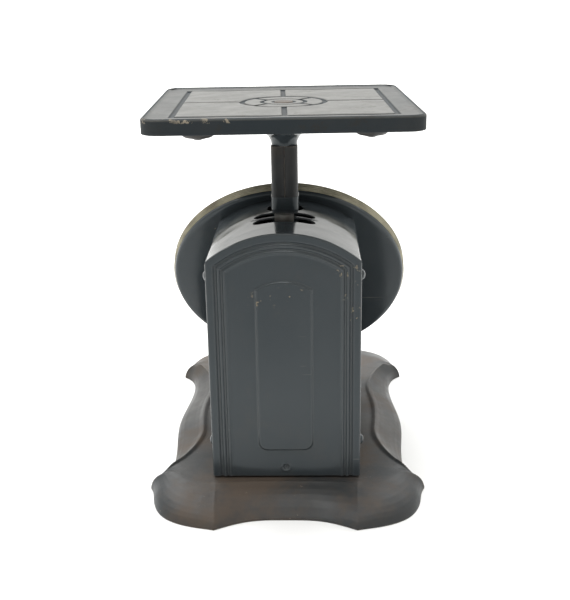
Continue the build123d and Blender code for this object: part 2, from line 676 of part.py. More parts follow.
def carriage_bar():
    """The flat bar that hangs from the post and carries springs, rack and links."""
    half = BAR_WIDTH / 2
    top = STEM_BOTTOM_Z + BAR_SOCKET
    bar = block((-half, half), (BAR_FRONT_Y, BAR_BACK_Y), (BAR_BOTTOM_Z, top))
    for rod_z in (UPPER_ROD_Z, LOWER_ROD_Z):
        bar -= Pos(0, STEM_Y, rod_z + HALF_SWING) * along_x(Cylinder(LINK_PIN_RADIUS, 40))
    for place in arm_rivet_places():
        bar -= place * Pos(0, STEM_Y, 0) * along_y(Cylinder(RIVET_RADIUS, 40))
    for place in crossbar_rivet_places():
        bar -= place * Pos(0, STEM_Y, 0) * along_y(Cylinder(RIVET_RADIUS, 40))
    return bar - stem_rivet_hole()


def crossbar_rivet_places():
    return [Pos(x, 0, CROSSBAR_Z + CROSSBAR_HEIGHT / 2) for x in (-BAR_WIDTH / 4, BAR_WIDTH / 4)]


def spring_crossbar():
    """The cross plate on the back of the bar that both springs pull up on."""
    half = CROSSBAR_HALF_LENGTH
    tall = (CROSSBAR_Z, CROSSBAR_Z + CROSSBAR_HEIGHT)
    bar = block((-half, half), (BAR_BACK_Y, BAR_BACK_Y + CROSSBAR_SHEET), tall)
    for place in crossbar_rivet_places():
        bar -= place * Pos(0, STEM_Y, 0) * along_y(Cylinder(RIVET_RADIUS, 40))
    for side in (-1, 1):
        bar -= Pos(side * SPRING_X, BAR_BACK_Y, sum(tall) / 2) * along_y(Cylinder(WIRE, 10))
    return bar


def crossbar_rivets():
    one = Pos(0, BAR_FRONT_Y, 0) * along_y(rivet(BAR_DEPTH + CROSSBAR_SHEET, head=CROSSBAR_RIVET_HEAD))
    return Compound(children=[place * one for place in crossbar_rivet_places()])


def link_pin(rod_z):
    reach = LINK_X + LINK_SHEET + LINK_SIDE_GAP
    return Pos(-reach, STEM_Y, rod_z + HALF_SWING) * along_x(post(LINK_PIN_RADIUS, 0, 2 * reach))


# ---------------------------------------------------------------- check links
def check_rod(rod_z):
    """A cross rod through both side walls, headed on the outside."""
    one = rivet(HOUSING_WIDTH, ROD_RADIUS, ROD_HEAD_RADIUS, ROD_HEAD_HEIGHT)
    return Pos(-HALF_HOUSING, CHECK_ROD_Y, rod_z) * along_x(one)


def check_link(rod_z):
    """A forked link: a hub on the cross rod and two arms with slotted ends on the carriage pin."""
    reach = LINK_X + LINK_SHEET
    running = ROD_RADIUS + SHAFT_CLEARANCE
    slot_low = LINK_REACH - LINK_SLOT_CLEARANCE
    slot_high = LINK_REACH_END + LINK_SLOT_CLEARANCE
    slot_radius = LINK_PIN_RADIUS + LINK_SLOT_CLEARANCE
    middle = (slot_low + slot_high) / 2
    length = slot_high - slot_low + 2 * slot_radius
    plate = Pos(LINK_REACH_END / 2, 0) * Rectangle(LINK_REACH_END, 2 * LINK_HALF_HEIGHT)
    plate += Circle(LINK_HUB_RADIUS) + Pos(LINK_REACH_END, 0) * Circle(LINK_EYE_RADIUS)
    plate -= Circle(running) + Pos(middle, 0) * SlotOverall(length, 2 * slot_radius)
    hub = Circle(LINK_HUB_RADIUS) - Circle(running)
    arm = extrude(plate, LINK_SHEET)
    fork = Pos(0, 0, -reach) * (arm + extrude(hub, 2 * reach)) + Pos(0, 0, LINK_X) * arm
    raised = degrees(atan2(HALF_SWING, LINK_REACH))
    plane = Plane((0, CHECK_ROD_Y, rod_z), x_dir=(0, -1, 0), z_dir=(1, 0, 0))
    return plane * Rot(0, 0, -raised) * fork


# ---------------------------------------------------------------- springs
def spring_hanger():
    """The plate under the roof that both springs hang from, hooked over the roof bridge."""
    hook_y = SLOT_Y[1] - SLOT_WIDTH / 2 + HOOK_SET_BACK
    back_y = hook_y + HANGER_SHEET
    top = CROWN_Z + HOOK_GAP
    wide = (-HOOK_HALF_WIDTH, HOOK_HALF_WIDTH)
    flat = (-HANGER_HALF_WIDTH, HANGER_HALF_WIDTH)
    plate = block(flat, (HANGER_FRONT_Y, back_y), (HANGER_Z, HANGER_Z + HANGER_SHEET))
    plate += block(wide, (hook_y, back_y), (HANGER_Z, top + HANGER_SHEET))
    nose_y = SLOT_Y[0] + SLOT_WIDTH / 2 - HOOK_GAP
    plate += block(wide, (nose_y - HANGER_SHEET, back_y), (top, top + HANGER_SHEET))
    plate += block(wide, (nose_y - HANGER_SHEET, nose_y), (top - HOOK_NOSE, top + HANGER_SHEET))
    plate -= Pos(0, STEM_Y, HANGER_Z) * Cylinder(STEM_SIZE / 2 + STEM_HOLE_GAP, 10)
    plate -= Pos(0, ZERO_SCREW_Y, HANGER_Z) * Cylinder(ZERO_SCREW_RADIUS + SCREW_CLEARANCE, 10)
    for side in (-1, 1):
        plate -= Pos(side * SPRING_X, STEM_Y, HANGER_Z) * Cylinder(WIRE, 10)
    return plate


def spring(side):
    """An extension spring as a plain sleeve the size of its coil, with straight end wires."""
    low = CROSSBAR_Z + CROSSBAR_HEIGHT / 2
    coil_low = low + COIL_MARGIN
    coil_high = HANGER_Z - COIL_MARGIN
    coil = post(COIL_RADIUS, coil_low, coil_high)
    coil -= post(COIL_RADIUS - WIRE, coil_low + WIRE, coil_high - WIRE)
    ends = post(WIRE / 2, low, coil_low) + post(WIRE / 2, coil_high, HANGER_Z)
    return Pos(side * SPRING_X, STEM_Y, 0) * (coil + ends)


def zero_screw():
    """The slotted screw in front of the post that levels the hanger and zeroes the pointer."""
    top = CROWN_Z + ZERO_HEAD_GAP
    head = post(ZERO_HEAD_RADIUS, top, top + ZERO_HEAD_HEIGHT)
    head = fillet(head.edges().group_by(Axis.Z)[-1], ZERO_HEAD_ROUND)
    head -= block((-FAR, FAR), (-SCREW_SLOT / 2, SCREW_SLOT / 2), (top + ZERO_HEAD_HEIGHT / 2, FAR))
    screw = head + post(ZERO_SCREW_RADIUS, top - ZERO_SCREW_LENGTH, top)
    return Pos(0, ZERO_SCREW_Y, 0) * screw


# ---------------------------------------------------------------- platform
def groove_pattern():
    """The pressed lines of the platform: a square, a cross and two rings."""
    inner = PLATFORM_SIZE - 2 * BORDER_WIDTH
    square = Rectangle(inner, inner) - Rectangle(inner - 2 * GROOVE_WIDTH, inner - 2 * GROOVE_WIDTH)
    cross = Rectangle(inner, GROOVE_WIDTH) + Rectangle(GROOVE_WIDTH, inner)
    cross -= Circle(RING_RADIUS)
    rings = Circle(RING_RADIUS + GROOVE_WIDTH / 2) - Circle(RING_RADIUS - GROOVE_WIDTH / 2)
    rings += Circle(INNER_RING_RADIUS + GROOVE_WIDTH / 2) - Circle(INNER_RING_RADIUS - GROOVE_WIDTH / 2)
    return square + cross + rings


def platform():
    """The square pressed platform with its turned-down lip."""
    size = PLATFORM_SIZE
    low = PLATFORM_TOP_Z - PLATFORM_LIP
    outer = extrude(rounded_square(size, PLATFORM_CORNER), PLATFORM_LIP)
    outer = fillet(outer.edges().group_by(Axis.Z)[-1], PLATFORM_EDGE_ROUND)
    body = Pos(0, 0, low) * outer
    wall = PLATFORM_SHEET
    inside = rounded_square(size - 2 * wall, PLATFORM_CORNER - wall)
    body -= Pos(0, 0, low - 1) * extrude(inside, PLATFORM_UNDER_Z - low + 1)
    field = rounded_square(size - 2 * RIM_WIDTH, PLATFORM_CORNER - RIM_WIDTH)
    body -= Pos(0, 0, FIELD_Z) * extrude(field, 5)
    body -= Pos(0, 0, FIELD_Z - GROOVE_DEPTH) * extrude(groove_pattern(), 5)
    body += post(CENTRE_RADIUS + PLATFORM_SHEET, CENTRE_UNDER_Z, PLATFORM_UNDER_Z)
    body -= post(CENTRE_RADIUS, FIELD_Z - CENTRE_DROP, FIELD_Z + 5)
    body -= post(CENTRE_SCREW_RADIUS, 0, FAR)
    return Pos(0, STEM_Y, 0) * Rot(0, 0, PLATFORM_TWIST) * body


def spider_arm():
    """One arm along +X with a sloping underside, ending in a round pad."""
    reach = hypot(PAD_X, PAD_Y)
    top = PLATFORM_UNDER_Z - SPIDER_GAP
    side = Polyline((0, COLLAR_TOP_Z), (reach, PAD_BOTTOM_Z + PAD_STEP), (reach, top), (0, top), close=True)
    plane = Plane((0, SPIDER_ARM_WIDTH / 2, 0), x_dir=(1, 0, 0), z_dir=(0, -1, 0))
    arm = extrude(plane * make_face(side), SPIDER_ARM_WIDTH)
    pad = post(PAD_RADIUS, PAD_BOTTOM_Z, PLATFORM_UNDER_Z)
    pad = fillet(pad.edges().group_by(Axis.Z)[0], PAD_ROUND)
    return arm + Pos(reach, 0, 0) * pad


def platform_spider():
    """The four-armed casting that carries the platform."""
    turn = degrees(atan2(PAD_Y, PAD_X))
    hub_top = PLATFORM_UNDER_Z - SPIDER_GAP
    spider = post(SPIDER_HUB_RADIUS, COLLAR_TOP_Z, hub_top)
    spider += post(CENTRE_RADIUS, hub_top - 1, CENTRE_UNDER_Z)
    for angle in (turn, 180 - turn, 180 + turn, -turn):
        spider += Rot(0, 0, angle) * spider_arm()
    spider -= post(CENTRE_RADIUS + PLATFORM_SHEET + SPIDER_RECESS_GAP, CENTRE_UNDER_Z, FAR)
    spider -= post(CENTRE_SCREW_RADIUS, 0, FAR)
    return Pos(0, STEM_Y, 0) * Rot(0, 0, PLATFORM_TWIST) * spider


def platform_screw():
    """The domed centre screw that holds platform, spider and collar on the post."""
    seat = FIELD_Z - CENTRE_DROP
    head = post(CENTRE_HEAD_RADIUS, seat, seat + CENTRE_HEAD_HEIGHT)
    head = fillet(head.edges().group_by(Axis.Z)[-1], CENTRE_HEAD_HEIGHT * SCREW_ROUND_SHARE)
    shank = post(CENTRE_SCREW_RADIUS, STEM_TOP_Z - CENTRE_SCREW_DEPTH, seat)
    return Pos(0, STEM_Y, 0) * (head + shank)


NODES = {
    "base": base,
    "housing_shell": housing_shell,
    "back_panel": back_panel,
    "front_plate": front_plate,
    "dial_dish": dial_dish,
    "bezel": bezel,
    "dial_face": dial_face,
    "glass_seat_ring": glass_seat_ring,
    "dial_glass": dial_glass,
    "dial_rivets": dial_rivets,
    "movement_bracket": movement_bracket,
    "bracket_rivets": bracket_rivets,
    "front_bush": lambda: bush(-BRACKET_FRONT),
    "rear_bush": lambda: bush(-BRACKET_BACK),
    "rack_guide_pin": rack_guide_pin,
    "spring_hanger": spring_hanger,
    "upper_check_rod": lambda: check_rod(UPPER_ROD_Z),
    "lower_check_rod": lambda: check_rod(LOWER_ROD_Z),
    "left_spring": lambda: spring(-1),
    "right_spring": lambda: spring(1),
    "pointer_shaft": pointer_shaft,
    "pinion": pinion,
    "pointer_hand": pointer_hand,
    "pointer_cap": pointer_cap,
    "rack": rack,
    "rack_arm": rack_arm,
    "rack_rivets": rack_rivets,
    "stem": stem,
    "stem_rivet": stem_rivet,
    "stem_ferrule": stem_ferrule,
    "stem_collar": stem_collar,
    "carriage_bar": carriage_bar,
    "spring_crossbar": spring_crossbar,
    "crossbar_rivets": crossbar_rivets,
    "upper_link_pin": lambda: link_pin(UPPER_ROD_Z),
    "lower_link_pin": lambda: link_pin(LOWER_ROD_Z),
    "upper_link": lambda: check_link(UPPER_ROD_Z),
    "lower_link": lambda: check_link(LOWER_ROD_Z),
    "zero_screw": zero_screw,
    "platform": platform,
    "platform_spider": platform_spider,
    "platform_screw": platform_screw,
}

os.makedirs("parts", exist_ok=True)
for name, make in NODES.items():
    export_step(make(), f"parts/{name}.step")
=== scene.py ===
"""Looks of the slanted-dial spring scale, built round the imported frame. Lengths here are millimetres
until unit() turns them into Blender's metres."""
import json
import math

import bmesh
import bpy
import numpy as np
from mathutils import Matrix, Vector


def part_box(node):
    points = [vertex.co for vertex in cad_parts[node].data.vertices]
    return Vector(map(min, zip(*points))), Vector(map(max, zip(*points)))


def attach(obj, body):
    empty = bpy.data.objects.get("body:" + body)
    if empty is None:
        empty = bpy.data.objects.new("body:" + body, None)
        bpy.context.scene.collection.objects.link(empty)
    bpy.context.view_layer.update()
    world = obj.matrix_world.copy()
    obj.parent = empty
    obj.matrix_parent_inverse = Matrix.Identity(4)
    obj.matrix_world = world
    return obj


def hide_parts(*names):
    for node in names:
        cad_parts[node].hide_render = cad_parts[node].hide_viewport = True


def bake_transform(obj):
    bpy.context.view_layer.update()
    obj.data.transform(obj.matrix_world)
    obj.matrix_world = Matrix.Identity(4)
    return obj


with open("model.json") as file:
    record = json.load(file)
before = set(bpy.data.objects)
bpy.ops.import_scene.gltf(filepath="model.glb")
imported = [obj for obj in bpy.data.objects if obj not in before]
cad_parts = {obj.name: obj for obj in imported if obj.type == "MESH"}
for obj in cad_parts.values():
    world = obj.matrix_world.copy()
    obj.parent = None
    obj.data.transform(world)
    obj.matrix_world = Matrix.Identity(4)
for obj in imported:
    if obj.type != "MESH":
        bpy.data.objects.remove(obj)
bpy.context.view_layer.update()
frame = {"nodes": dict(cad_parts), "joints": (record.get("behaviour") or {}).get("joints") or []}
nodes = frame["nodes"]
MM = 0.001


# --- sizes, from the frame
def box_mm(node):
    """A CAD node's lowest and highest corner in millimetres."""
    low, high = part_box(node)
    return np.array(low) / MM, np.array(high) / MM


dial_joint = {joint["name"]: joint for joint in frame["joints"]}["pointer_spin"]
DIAL_CENTRE = np.array(dial_joint["pos_m"]) / MM
DIAL_AXIS = np.array(dial_joint["axis"]) / np.linalg.norm(dial_joint["axis"])
TILT = math.atan2(DIAL_AXIS[2], -DIAL_AXIS[1])

base_high = box_mm("base")[1]
shell_high = box_mm("housing_shell")[1]
panel_high = box_mm("back_panel")[1]
stem_low, stem_high = box_mm("stem")
platform_low, platform_high = box_mm("platform")

BASE_TOP = base_high[2]
HALF_WIDTH = shell_high[0]
CROWN = shell_high[2]
STEM_Y = (stem_low[1] + stem_high[1]) / 2
PRESSING = 0.7
BACK_Y = panel_high[1] - PRESSING
SHEET = 0.9
SHOULDER_DROP = 15.9
SHOULDER_RADIUS = 3.0
ARCH_RADIUS = (HALF_WIDTH**2 + SHOULDER_DROP**2) / (2 * SHOULDER_DROP)
PLATFORM_TWIST = math.radians(2.0)
DISH_RADIUS = box_mm("dial_dish")[1][0]


# --- mesh helpers
def unit(points):
    return np.asarray(points, float) * MM


def new_object(name, vertices, faces, smooth=True, sharp=None):
    mesh = bpy.data.meshes.new(name)
    mesh.from_pydata(unit(vertices).tolist(), [], [list(face) for face in faces])
    mesh.validate()
    return finish_mesh(name, mesh, smooth, sharp)


def finish_mesh(name, mesh, smooth=True, sharp=None):
    """Links a mesh with outward normals and, if asked, keeps edges above an angle sharp."""
    work = bmesh.new()
    work.from_mesh(mesh)
    bmesh.ops.recalc_face_normals(work, faces=work.faces)
    work.to_mesh(mesh)
    work.free()
    mesh.polygons.foreach_set("use_smooth", [smooth] * len(mesh.polygons))
    if sharp is not None:
        mesh.set_sharp_from_angle(angle=math.radians(sharp))
    piece = bpy.data.objects.new(name, mesh)
    bpy.context.scene.collection.objects.link(piece)
    return piece


def grid_faces(rows, columns, wrap_rows=False, wrap_columns=False, start=0):
    """Quads over a grid of rows x columns vertices stored row by row."""
    faces = []
    for i in range(rows if wrap_rows else rows - 1):
        for j in range(columns if wrap_columns else columns - 1):
            a = start + i * columns + j
            b = start + i * columns + (j + 1) % columns
            c = start + ((i + 1) % rows) * columns + (j + 1) % columns
            d = start + ((i + 1) % rows) * columns + j
            faces.append((a, b, c, d))
    return faces


def end_caps(count, total, flip=False):
    """The first and the last ring of a grid, as two closing faces."""
    first, last = tuple(range(count)), tuple(range(total - count, total))
    return [first, last[::-1]] if flip else [first[::-1], last]


def sheet_faces(rows, columns):
    """Both sides of a sheet stored as two grids, and the strips that join their edges."""
    size = rows * columns
    faces = grid_faces(rows, columns) + grid_faces(rows, columns, start=size)
    across = [i * columns + j for j in range(columns - 1) for i in (0, rows - 1)]
    along = [i * columns + j for i in range(rows - 1) for j in (0, columns - 1)]
    faces += [(a, a + 1, size + a + 1, size + a) for a in across]
    return faces + [(a, a + columns, size + a + columns, size + a) for a in along]


def revolve(profile, steps=192, closed=True):
    """Vertices and faces of an (r, z) profile turned about local Z."""
    profile = np.asarray(profile, float)
    angles = np.linspace(0, 2 * math.pi, steps, endpoint=False)
    rows = [np.stack([r * np.cos(angles), r * np.sin(angles), np.full(steps, z)], 1) for r, z in profile]
    return np.concatenate(rows), grid_faces(len(profile), steps, closed, True)


def in_dial_plane(points):
    """Local dial coordinates (x, up the dial, out of the dial) to the row frame."""
    points = np.asarray(points, float)
    up = np.array([0, math.sin(TILT), math.cos(TILT)])
    return DIAL_CENTRE + points[:, :1] * [1, 0, 0] + points[:, 1:2] * up + points[:, 2:3] * DIAL_AXIS


def arc(centre, radius, start, end, steps):
    """Points of an arc in the (r, z) plane, angles in degrees."""
    angles = np.radians(np.linspace(start, end, steps))
    return [(centre[0] + radius * math.cos(a), centre[1] + radius * math.sin(a)) for a in angles]


def smoothstep(low, high, value):
    t = np.clip((value - low) / (high - low), 0, 1)
    return t * t * (3 - 2 * t)


def bump_line(distance, width):
    """A rounded ridge of unit height and the given full width about distance 0."""
    t = np.clip(1 - (2 * distance / width) ** 2, 0, 1)
    return t * t


def clamped_spline(points, first, last, steps):
    """A cubic spline through points with unit end tangents, sampled evenly by chord length."""
    points = np.asarray(points, float)
    knots = np.concatenate([[0], np.cumsum(np.linalg.norm(np.diff(points, axis=0), axis=1))])
    h = np.diff(knots)
    count = len(points)
    matrix = np.zeros((count, count))
    right = np.zeros((count, 2))
    matrix[0, 0] = matrix[-1, -1] = 1
    right[0] = np.asarray(first, float) / np.linalg.norm(first)
    right[-1] = np.asarray(last, float) / np.linalg.norm(last)
    slopes = np.diff(points, axis=0) / h[:, None]
    for i in range(1, count - 1):
        matrix[i, i - 1 : i + 2] = (h[i], 2 * (h[i - 1] + h[i]), h[i - 1])
        right[i] = 3 * (h[i] * slopes[i - 1] + h[i - 1] * slopes[i])
    tangents = np.linalg.solve(matrix, right)
    u = np.linspace(0, knots[-1], steps)
    span = np.clip(np.searchsorted(knots, u, side="right") - 1, 0, count - 2)
    t = ((u - knots[span]) / h[span])[:, None]
    width = h[span][:, None]
    return (
        (2 * t**3 - 3 * t**2 + 1) * points[span]
        + (t**3 - 2 * t**2 + t) * width * tangents[span]
        + (3 * t**2 - 2 * t**3) * points[span + 1]
        + (t**3 - t**2) * width * tangents[span + 1]
    )


def tube(path, radius, sides=12):
    """Vertices and faces of a closed tube along a path, turned with parallel transport."""
    path = np.asarray(path, float)
    tangents = np.gradient(path, axis=0)
    tangents /= np.linalg.norm(tangents, axis=1)[:, None]
    normal = np.cross(tangents[0], [0.3, 0.5, 0.8])
    rows = []
    angles = np.linspace(0, 2 * math.pi, sides, endpoint=False)
    for centre, tangent in zip(path, tangents):
        normal = normal - tangent * np.dot(normal, tangent)
        normal /= np.linalg.norm(normal)
        side = np.cross(tangent, normal)
        ring = np.cos(angles)[:, None] * normal + np.sin(angles)[:, None] * side
        rows.append(centre + radius * ring)
    vertices = np.concatenate(rows)
    return vertices, grid_faces(len(path), sides, False, True) + end_caps(sides, len(vertices))


# --- material helpers
class Nodes:
    """A short way to build one material's node tree."""

    def __init__(self, name):
        self.material = bpy.data.materials.new(name)
        self.material.use_nodes = True
        self.tree = self.material.node_tree
        self.shader = self.tree.nodes["Principled BSDF"]
        self.place = self.tree.nodes.new("ShaderNodeTexCoord").outputs["Object"]

    def link(self, source, target):
        self.tree.links.new(source, target)

    def noise(self, scale, detail=4.0, roughness=0.55, stretch=None, shift=0.0):
        texture = self.tree.nodes.new("ShaderNodeTexNoise")
        texture.inputs["Scale"].default_value = scale
        texture.inputs["Detail"].default_value = detail
        texture.inputs["Roughness"].default_value = roughness
        mapping = self.tree.nodes.new("ShaderNodeMapping")
        mapping.inputs["Location"].default_value = (shift, shift * 0.7, -shift)
        mapping.inputs["Scale"].default_value = stretch or (1, 1, 1)
        self.link(self.place, mapping.inputs["Vector"])
        self.link(mapping.outputs["Vector"], texture.inputs["Vector"])
        return texture.outputs["Fac"]

    def ramp(self, value, *stops):
        """Maps a value through (position, grey or colour) stops."""
        node = self.tree.nodes.new("ShaderNodeValToRGB")
        node.color_ramp.interpolation = "EASE"
        elements = node.color_ramp.elements
        while len(elements) < len(stops):
            elements.new(0.5)
        for element, (position, colour) in zip(elements, stops):
            element.position = position
            if not isinstance(colour, tuple):
                colour = (colour, colour, colour)
            element.color = (*colour, 1)
        self.link(value, node.inputs["Fac"])
        return node.outputs["Color"]

    def mix(self, factor, a, b):
        node = self.tree.nodes.new("ShaderNodeMix")
        node.data_type = "RGBA"
        for socket, value in ((node.inputs[0], factor), (node.inputs[6], a), (node.inputs[7], b)):
            self.put(socket, value)
        return node.outputs[2]

    def math(self, operation, a, b=0.0):
        node = self.tree.nodes.new("ShaderNodeMath")
        node.operation = operation
        self.put(node.inputs[0], a)
        self.put(node.inputs[1], b)
        return node.outputs[0]

    def times(self, a, b):
        return self.math("MULTIPLY", a, b)

    def put(self, socket, value):
        if isinstance(value, bpy.types.NodeSocket):
            self.link(value, socket)
        elif isinstance(value, tuple) and len(value) == 3:
            socket.default_value = (*value, 1)
        else:
            socket.default_value = value

    def axis(self, index):
        split = self.tree.nodes.new("ShaderNodeSeparateXYZ")
        self.link(self.place, split.inputs[0])
        return split.outputs[index]

    def scratches(self, scale, density, turn):
        """Thin straight scratches: a stretched noise cut to a narrow band."""
        texture = self.tree.nodes.new("ShaderNodeTexNoise")
        texture.inputs["Scale"].default_value = scale
        texture.inputs["Detail"].default_value = 3.0
        mapping = self.tree.nodes.new("ShaderNodeMapping")
        mapping.inputs["Rotation"].default_value = (turn * 0.6, turn * 0.3, turn)
        mapping.inputs["Scale"].default_value = (1, 26, 26)
        self.link(self.place, mapping.inputs["Vector"])
        self.link(mapping.outputs["Vector"], texture.inputs["Vector"])
        return self.ramp(texture.outputs["Fac"], (density, 0.0), (density + 0.03, 1.0))

    def chips(self, scale, threshold, spread_scale=18.0, spread=0.56):
        """Small chips that gather in patches."""
        cell = self.noise(scale, 5.0, 0.7)
        patch = self.ramp(self.noise(spread_scale, 2.0, 0.5, shift=3.1), (spread, 0.0), (spread + 0.07, 1.0))
        return self.times(self.ramp(cell, (threshold, 0.0), (threshold + 0.015, 1.0)), patch)

    def patches(self, places_mm, radius_mm):
        """Soft round areas about places on the object, where wear gathers."""
        total = None
        for place_mm in places_mm:
            distance = self.tree.nodes.new("ShaderNodeVectorMath")
            distance.operation = "DISTANCE"
            self.link(self.place, distance.inputs[0])
            distance.inputs[1].default_value = tuple(value * MM for value in place_mm)
            near = self.math("DIVIDE", distance.outputs["Value"], radius_mm * MM)
            spot = self.ramp(near, (0.35, 1.0), (1.0, 0.0))
            total = spot if total is None else self.math("MAXIMUM", total, spot)
        return total

    def edge_wear(self, radius, low, high):
        """Where a bevelled normal leaves the true one: the sharp edges."""
        bevel = self.tree.nodes.new("ShaderNodeBevel")
        bevel.samples = 4
        bevel.inputs["Radius"].default_value = radius
        geometry = self.tree.nodes.new("ShaderNodeNewGeometry")
        dot = self.tree.nodes.new("ShaderNodeVectorMath")
        dot.operation = "DOT_PRODUCT"
        self.link(bevel.outputs[0], dot.inputs[0])
        self.link(geometry.outputs["Normal"], dot.inputs[1])
        return self.ramp(dot.outputs["Value"], (low, 1.0), (high, 0.0))

    def bump(self, height, distance, strength=1.0, under=None):
        node = self.tree.nodes.new("ShaderNodeBump")
        node.inputs["Strength"].default_value = strength
        node.inputs["Distance"].default_value = distance
        self.link(height, node.inputs["Height"])
        if under is not None:
            self.link(under, node.inputs["Normal"])
        return node.outputs["Normal"]

    def finish(self, colour=None, roughness=None, metallic=None, normal=None, **sockets):
        named = {"Base Color": colour, "Roughness": roughness, "Metallic": metallic, "Normal": normal}
        for name, value in named.items():
            if value is not None:
                self.put(self.shader.inputs[name], value)
        for name, value in sockets.items():
            self.shader.inputs[name.replace("_", " ")].default_value = value
        return self.material


# --- materials
# places, in millimetres, round which the enamel is chipped
PLATFORM_CHIPS = ((70, 104, 223), (62, 105, 223), (46, 105, 223), (31, 105, 223))
CHIPPED_PLACES = ((-35, 95, 139), (-39, 95, 127), (-39, 95, 112), (12, 95, 122), (-4, 95, 126))


COOL_GLOSS = (0.92, 0.98, 1.0, 1.0)


def black_enamel():
    """Glossy blue-black stove enamel, smooth, with sparse specks, scratches and tan chips."""
    n = Nodes("black_enamel")
    cloud = n.noise(14, 3, 0.5)
    colour = n.ramp(cloud, (0.3, (0.033, 0.041, 0.0465)), (0.7, (0.04, 0.0475, 0.0525)))
    bloom = n.ramp(n.noise(30, 6, 0.7, shift=6.0), (0.52, 0.0), (0.8, 0.6))
    colour = n.mix(n.times(bloom, 0.5), colour, (0.06, 0.057, 0.05))
    rubbed = n.times(n.edge_wear(0.0014, 0.93, 0.995), 0.5)
    colour = n.mix(rubbed, colour, (0.115, 0.12, 0.12))
    scratch = n.scratches(26, 0.73, 1.35)
    colour = n.mix(n.times(scratch, 0.4), colour, (0.15, 0.15, 0.14))
    chip = n.chips(300, 0.69, 22, 0.6)
    worn_corner = n.patches(CHIPPED_PLACES, 9.0)
    flaked = n.ramp(n.noise(240, 4, 0.65), (0.61, 0.0), (0.635, 1.0))
    chip = n.math("MAXIMUM", chip, n.times(flaked, worn_corner))
    colour = n.mix(chip, colour, (0.2, 0.165, 0.115))
    rough = n.ramp(n.noise(38, 5, 0.65, shift=1.7), (0.35, 0.11), (0.8, 0.24))
    rough = n.mix(chip, rough, (0.7, 0.7, 0.7))
    normal = n.bump(n.noise(34, 2, 0.5), 0.0004, 0.3)
    return n.finish(colour, rough, 0.0, normal, IOR=1.42, Specular_Tint=COOL_GLOSS)


def worn_enamel():
    """Duller enamel with brown rust bloom, rubbed edges and bright specks."""
    n = Nodes("worn_enamel")
    cloud = n.noise(16, 5, 0.6)
    colour = n.ramp(cloud, (0.35, (0.03, 0.034, 0.037)), (0.65, (0.046, 0.045, 0.043)))
    rust = n.ramp(n.noise(11, 8, 0.68, shift=5.3), (0.42, 0.0), (0.62, 1.0))
    colour = n.mix(n.times(rust, 0.6), colour, (0.1, 0.07, 0.048))
    speck = n.chips(520, 0.68, 30, 0.52)
    colour = n.mix(speck, colour, (0.3, 0.26, 0.2))
    uneven = n.ramp(n.noise(70, 6, 0.7), (0.4, 0.0), (0.62, 1.0))
    wear = n.times(n.edge_wear(0.0009, 0.955, 0.995), uneven)
    colour = n.mix(n.times(wear, 0.7), colour, (0.24, 0.21, 0.17))
    rough = n.ramp(n.noise(36, 6, 0.7, shift=2.2), (0.3, 0.3), (0.75, 0.5))
    rough = n.mix(rust, rough, (0.62, 0.62, 0.62))
    normal = n.bump(n.noise(120, 4, 0.6), 0.0003, 0.35)
    normal = n.bump(n.noise(1100, 3, 0.6), 0.00006, 0.4, normal)
    return n.finish(colour, rough, 0.0, normal, IOR=1.34)


